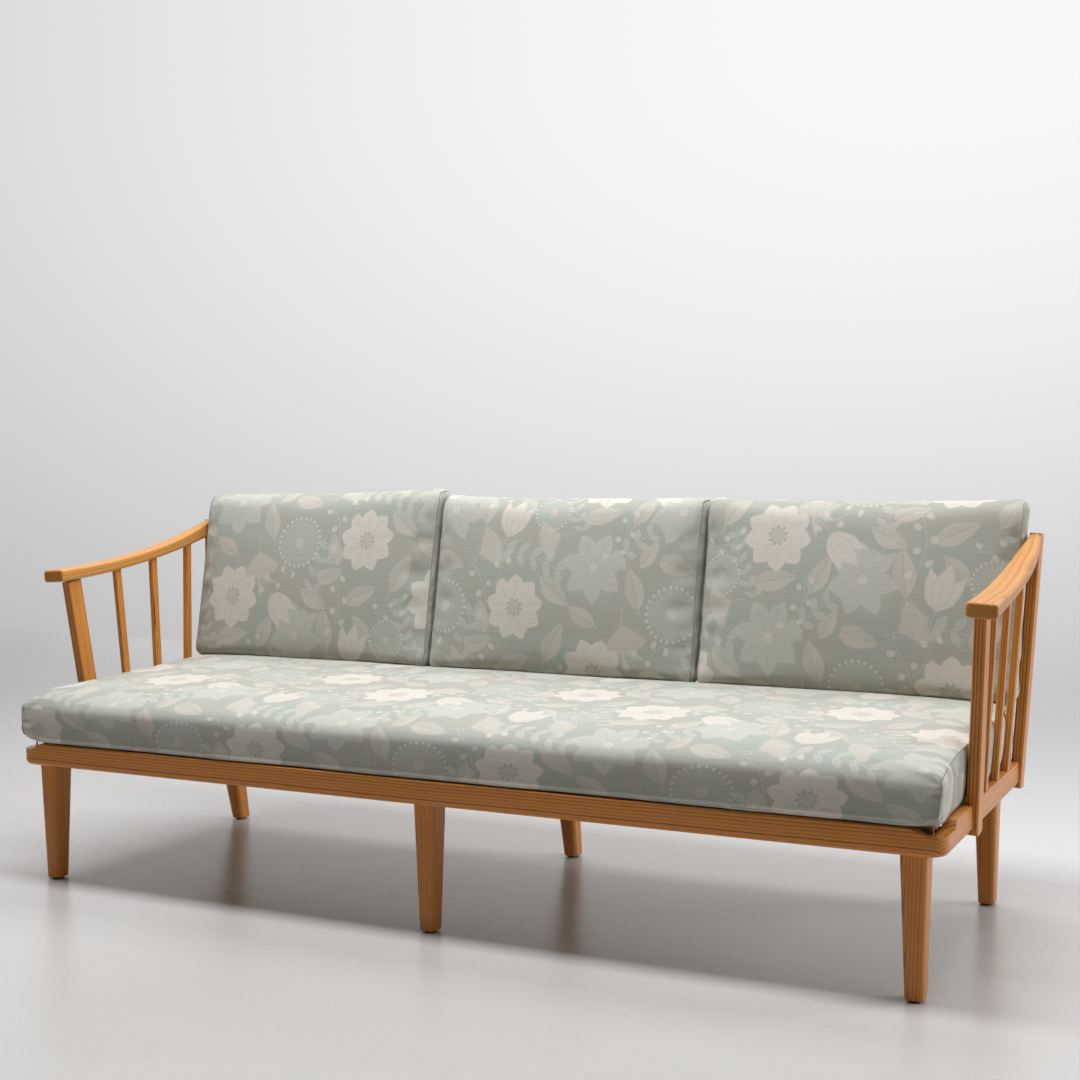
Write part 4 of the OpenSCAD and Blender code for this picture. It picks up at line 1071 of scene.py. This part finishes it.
def member_cut(node, seed):
    """Grain, pith, ring and tones of a wooden node, or None for other nodes."""
    side = -1 if "left" in node else 1
    if node in MEMBERS:
        return MEMBERS[node]
    if "post" in node and "screws" not in node:
        slope = POST_SLOPES["front" if node.startswith("front") else "rear"]
        return (side * ARM_SPLAY, slope, 1), (-62 - seed % 17, 58), 3.8, HONEY
    if "arm_spindle" in node:
        slope = math.tan(rad(SPINDLE_LEAN + SPINDLE_STEP * (int(node[-1]) - 1)))
        return (side * ARM_SPLAY, slope, 1), (44 + seed % 29, 50), 3.6, HONEY
    if "back_spindles" in node:
        return (0, BACK_SLOPE, 1), (40, 50 + seed % 11), 3.4, HONEY
    if node.endswith("_leg"):
        slope = REAR_LEG_SLOPE if node.startswith("rear") else 0
        return (0, slope, 1), (-66 + seed % 13, 52), 3.7, SMOOTH
    # The corner blocks' dark brown is painted shade for the hollow under the seat's corners
    if node.endswith("_block"):
        return (1, 0, 0), (30, 60), 4.5, BLOCK_PAINTED_SHADE
    if node.endswith(("_ledge", "_dowels")):
        return (1, 0, 0), (30, 60), 4.5, PLAIN
    if node.endswith("_slats"):
        return (0, 1, 0), (-700, 90), 5.5, PLAIN
    return None


def give(piece, material):
    piece.data.materials.clear()
    piece.data.materials.append(material)


def dress_wood():
    """Gives each member of the frame wood whose grain runs along it."""
    for node, piece in NODES.items():
        low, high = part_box(node)
        # Each node's letters choose its piece of wood
        seed = 1.7 * (sum(ord(c) for c in node) % 97)
        cut = member_cut(node, seed)
        if cut:
            sag = ARMREST_SAG if node.endswith("_armrest") else STRAIGHT
            along, pith, ring, tones = cut
            give(piece, wood(f"{node}_wood", along, (low + high) / 2, pith, ring, tones, seed % 53, sag))


def grained(name, first, second, scale, roughness, rough_by, depth, **constants):
    """Plain stuff whose colour and roughness vary finely, with a faint relief."""
    material, tree, shader = new_material(name, roughness, **constants)
    where = places_of(tree, "Object")
    fine = noise_of(where, scale, 3.0, 0.6)
    broad = noise_of(where, scale / 9)
    feed(shader, "Base Color", mixed(tree, fine * 0.6 + broad * 0.4, first, second))
    feed(shader, "Roughness", fine * rough_by + (roughness - rough_by / 2))
    feed(shader, "Normal", bump(fine, depth, 0.4))
    return material


def dress_fittings():
    """Zinc on the screws and bolts, moulded plastic on the glides."""
    zinc = grained("zinc_plate", srgb(196, 197, 196), srgb(214, 213, 206), scale=260.0, roughness=0.34,
                   rough_by=0.16, depth=0.00003, Metallic=1.0)
    glide = grained("glide_nylon", srgb(30, 28, 26), srgb(44, 41, 38), scale=420.0, roughness=0.52,
                    rough_by=0.2, depth=0.00008)
    for node, piece in NODES.items():
        if node == "foot_glides":
            give(piece, glide)
        elif node == "leg_bolts" or node.endswith("_screws"):
            give(piece, zinc)


def seam_cotton_painted_shade(name):
    """The print's sage ground for the sewn ridges, made darker as painted shade along the seams."""
    material, tree, shader = new_material(name, 0.9)
    fine = noise_of(places_of(tree, "Object"), 900.0)
    feed(shader, "Base Color", mixed(tree, fine, srgb(126, 132, 122), srgb(160, 162, 150)))
    return material


def left_lift(across):
    """The left back cushion stands higher, most at its right."""
    return 8 + 8 * across


add_camera()
add_stage()
add_light()
dress_wood()
dress_fittings()
ZIP_NYLON = grained("zip_nylon", srgb(142, 150, 139), srgb(164, 170, 158), scale=900.0, roughness=0.6,
                    rough_by=0.2, depth=0.0001)
CLOTH = fabric("printed_cotton")
SEAM_CLOTH_PAINTED_SHADE = seam_cotton_painted_shade("seam_cotton_painted_shade")

seat = Cushion("seat_cushion", (2 * SEAT_HALF, SEAT_DEPTH[1] - SEAT_DEPTH[0], SEAT_BACK), SEAT_ROUND,
               seat_shape, print_at=(40, 60))
make_cushion(seat, "seat_cushion", keep_seat, pressure=4.0, cap=0.005, gather=SEAT_PUCKER,
             nodes=("seat_cover", "seat_foam"), seed=3.0)
add_zip("seat_zip", seat.piece, Vector((0, 1, 0)), "seat_cushion")
for row, side in enumerate(("left", "centre", "right")):
    name = f"{side}_back_cushion"
    shape = back_shape((row - 1) * BACK_PITCH, left_lift if side == "left" else lambda across: 0, row - 1)
    pad = Cushion(name, (2 * BACK_HALF, BACK_DEPTH, BACK_TOP - BACK_REST), BACK_ROUND, shape,
                  print_at=(170 + 250 * row, 250 + 130 * row))
    make_cushion(pad, name, keep_back, pressure=2.5, cap=0.0045, gather=BACK_PUCKER,
                 nodes=(f"{side}_back_cover", f"{side}_back_foam"), seed=11.0 * row)
    add_zip(f"{side}_back_zip", pad.piece, Vector((0, 0, -1)), name)

scene.view_settings.view_transform = "Standard"
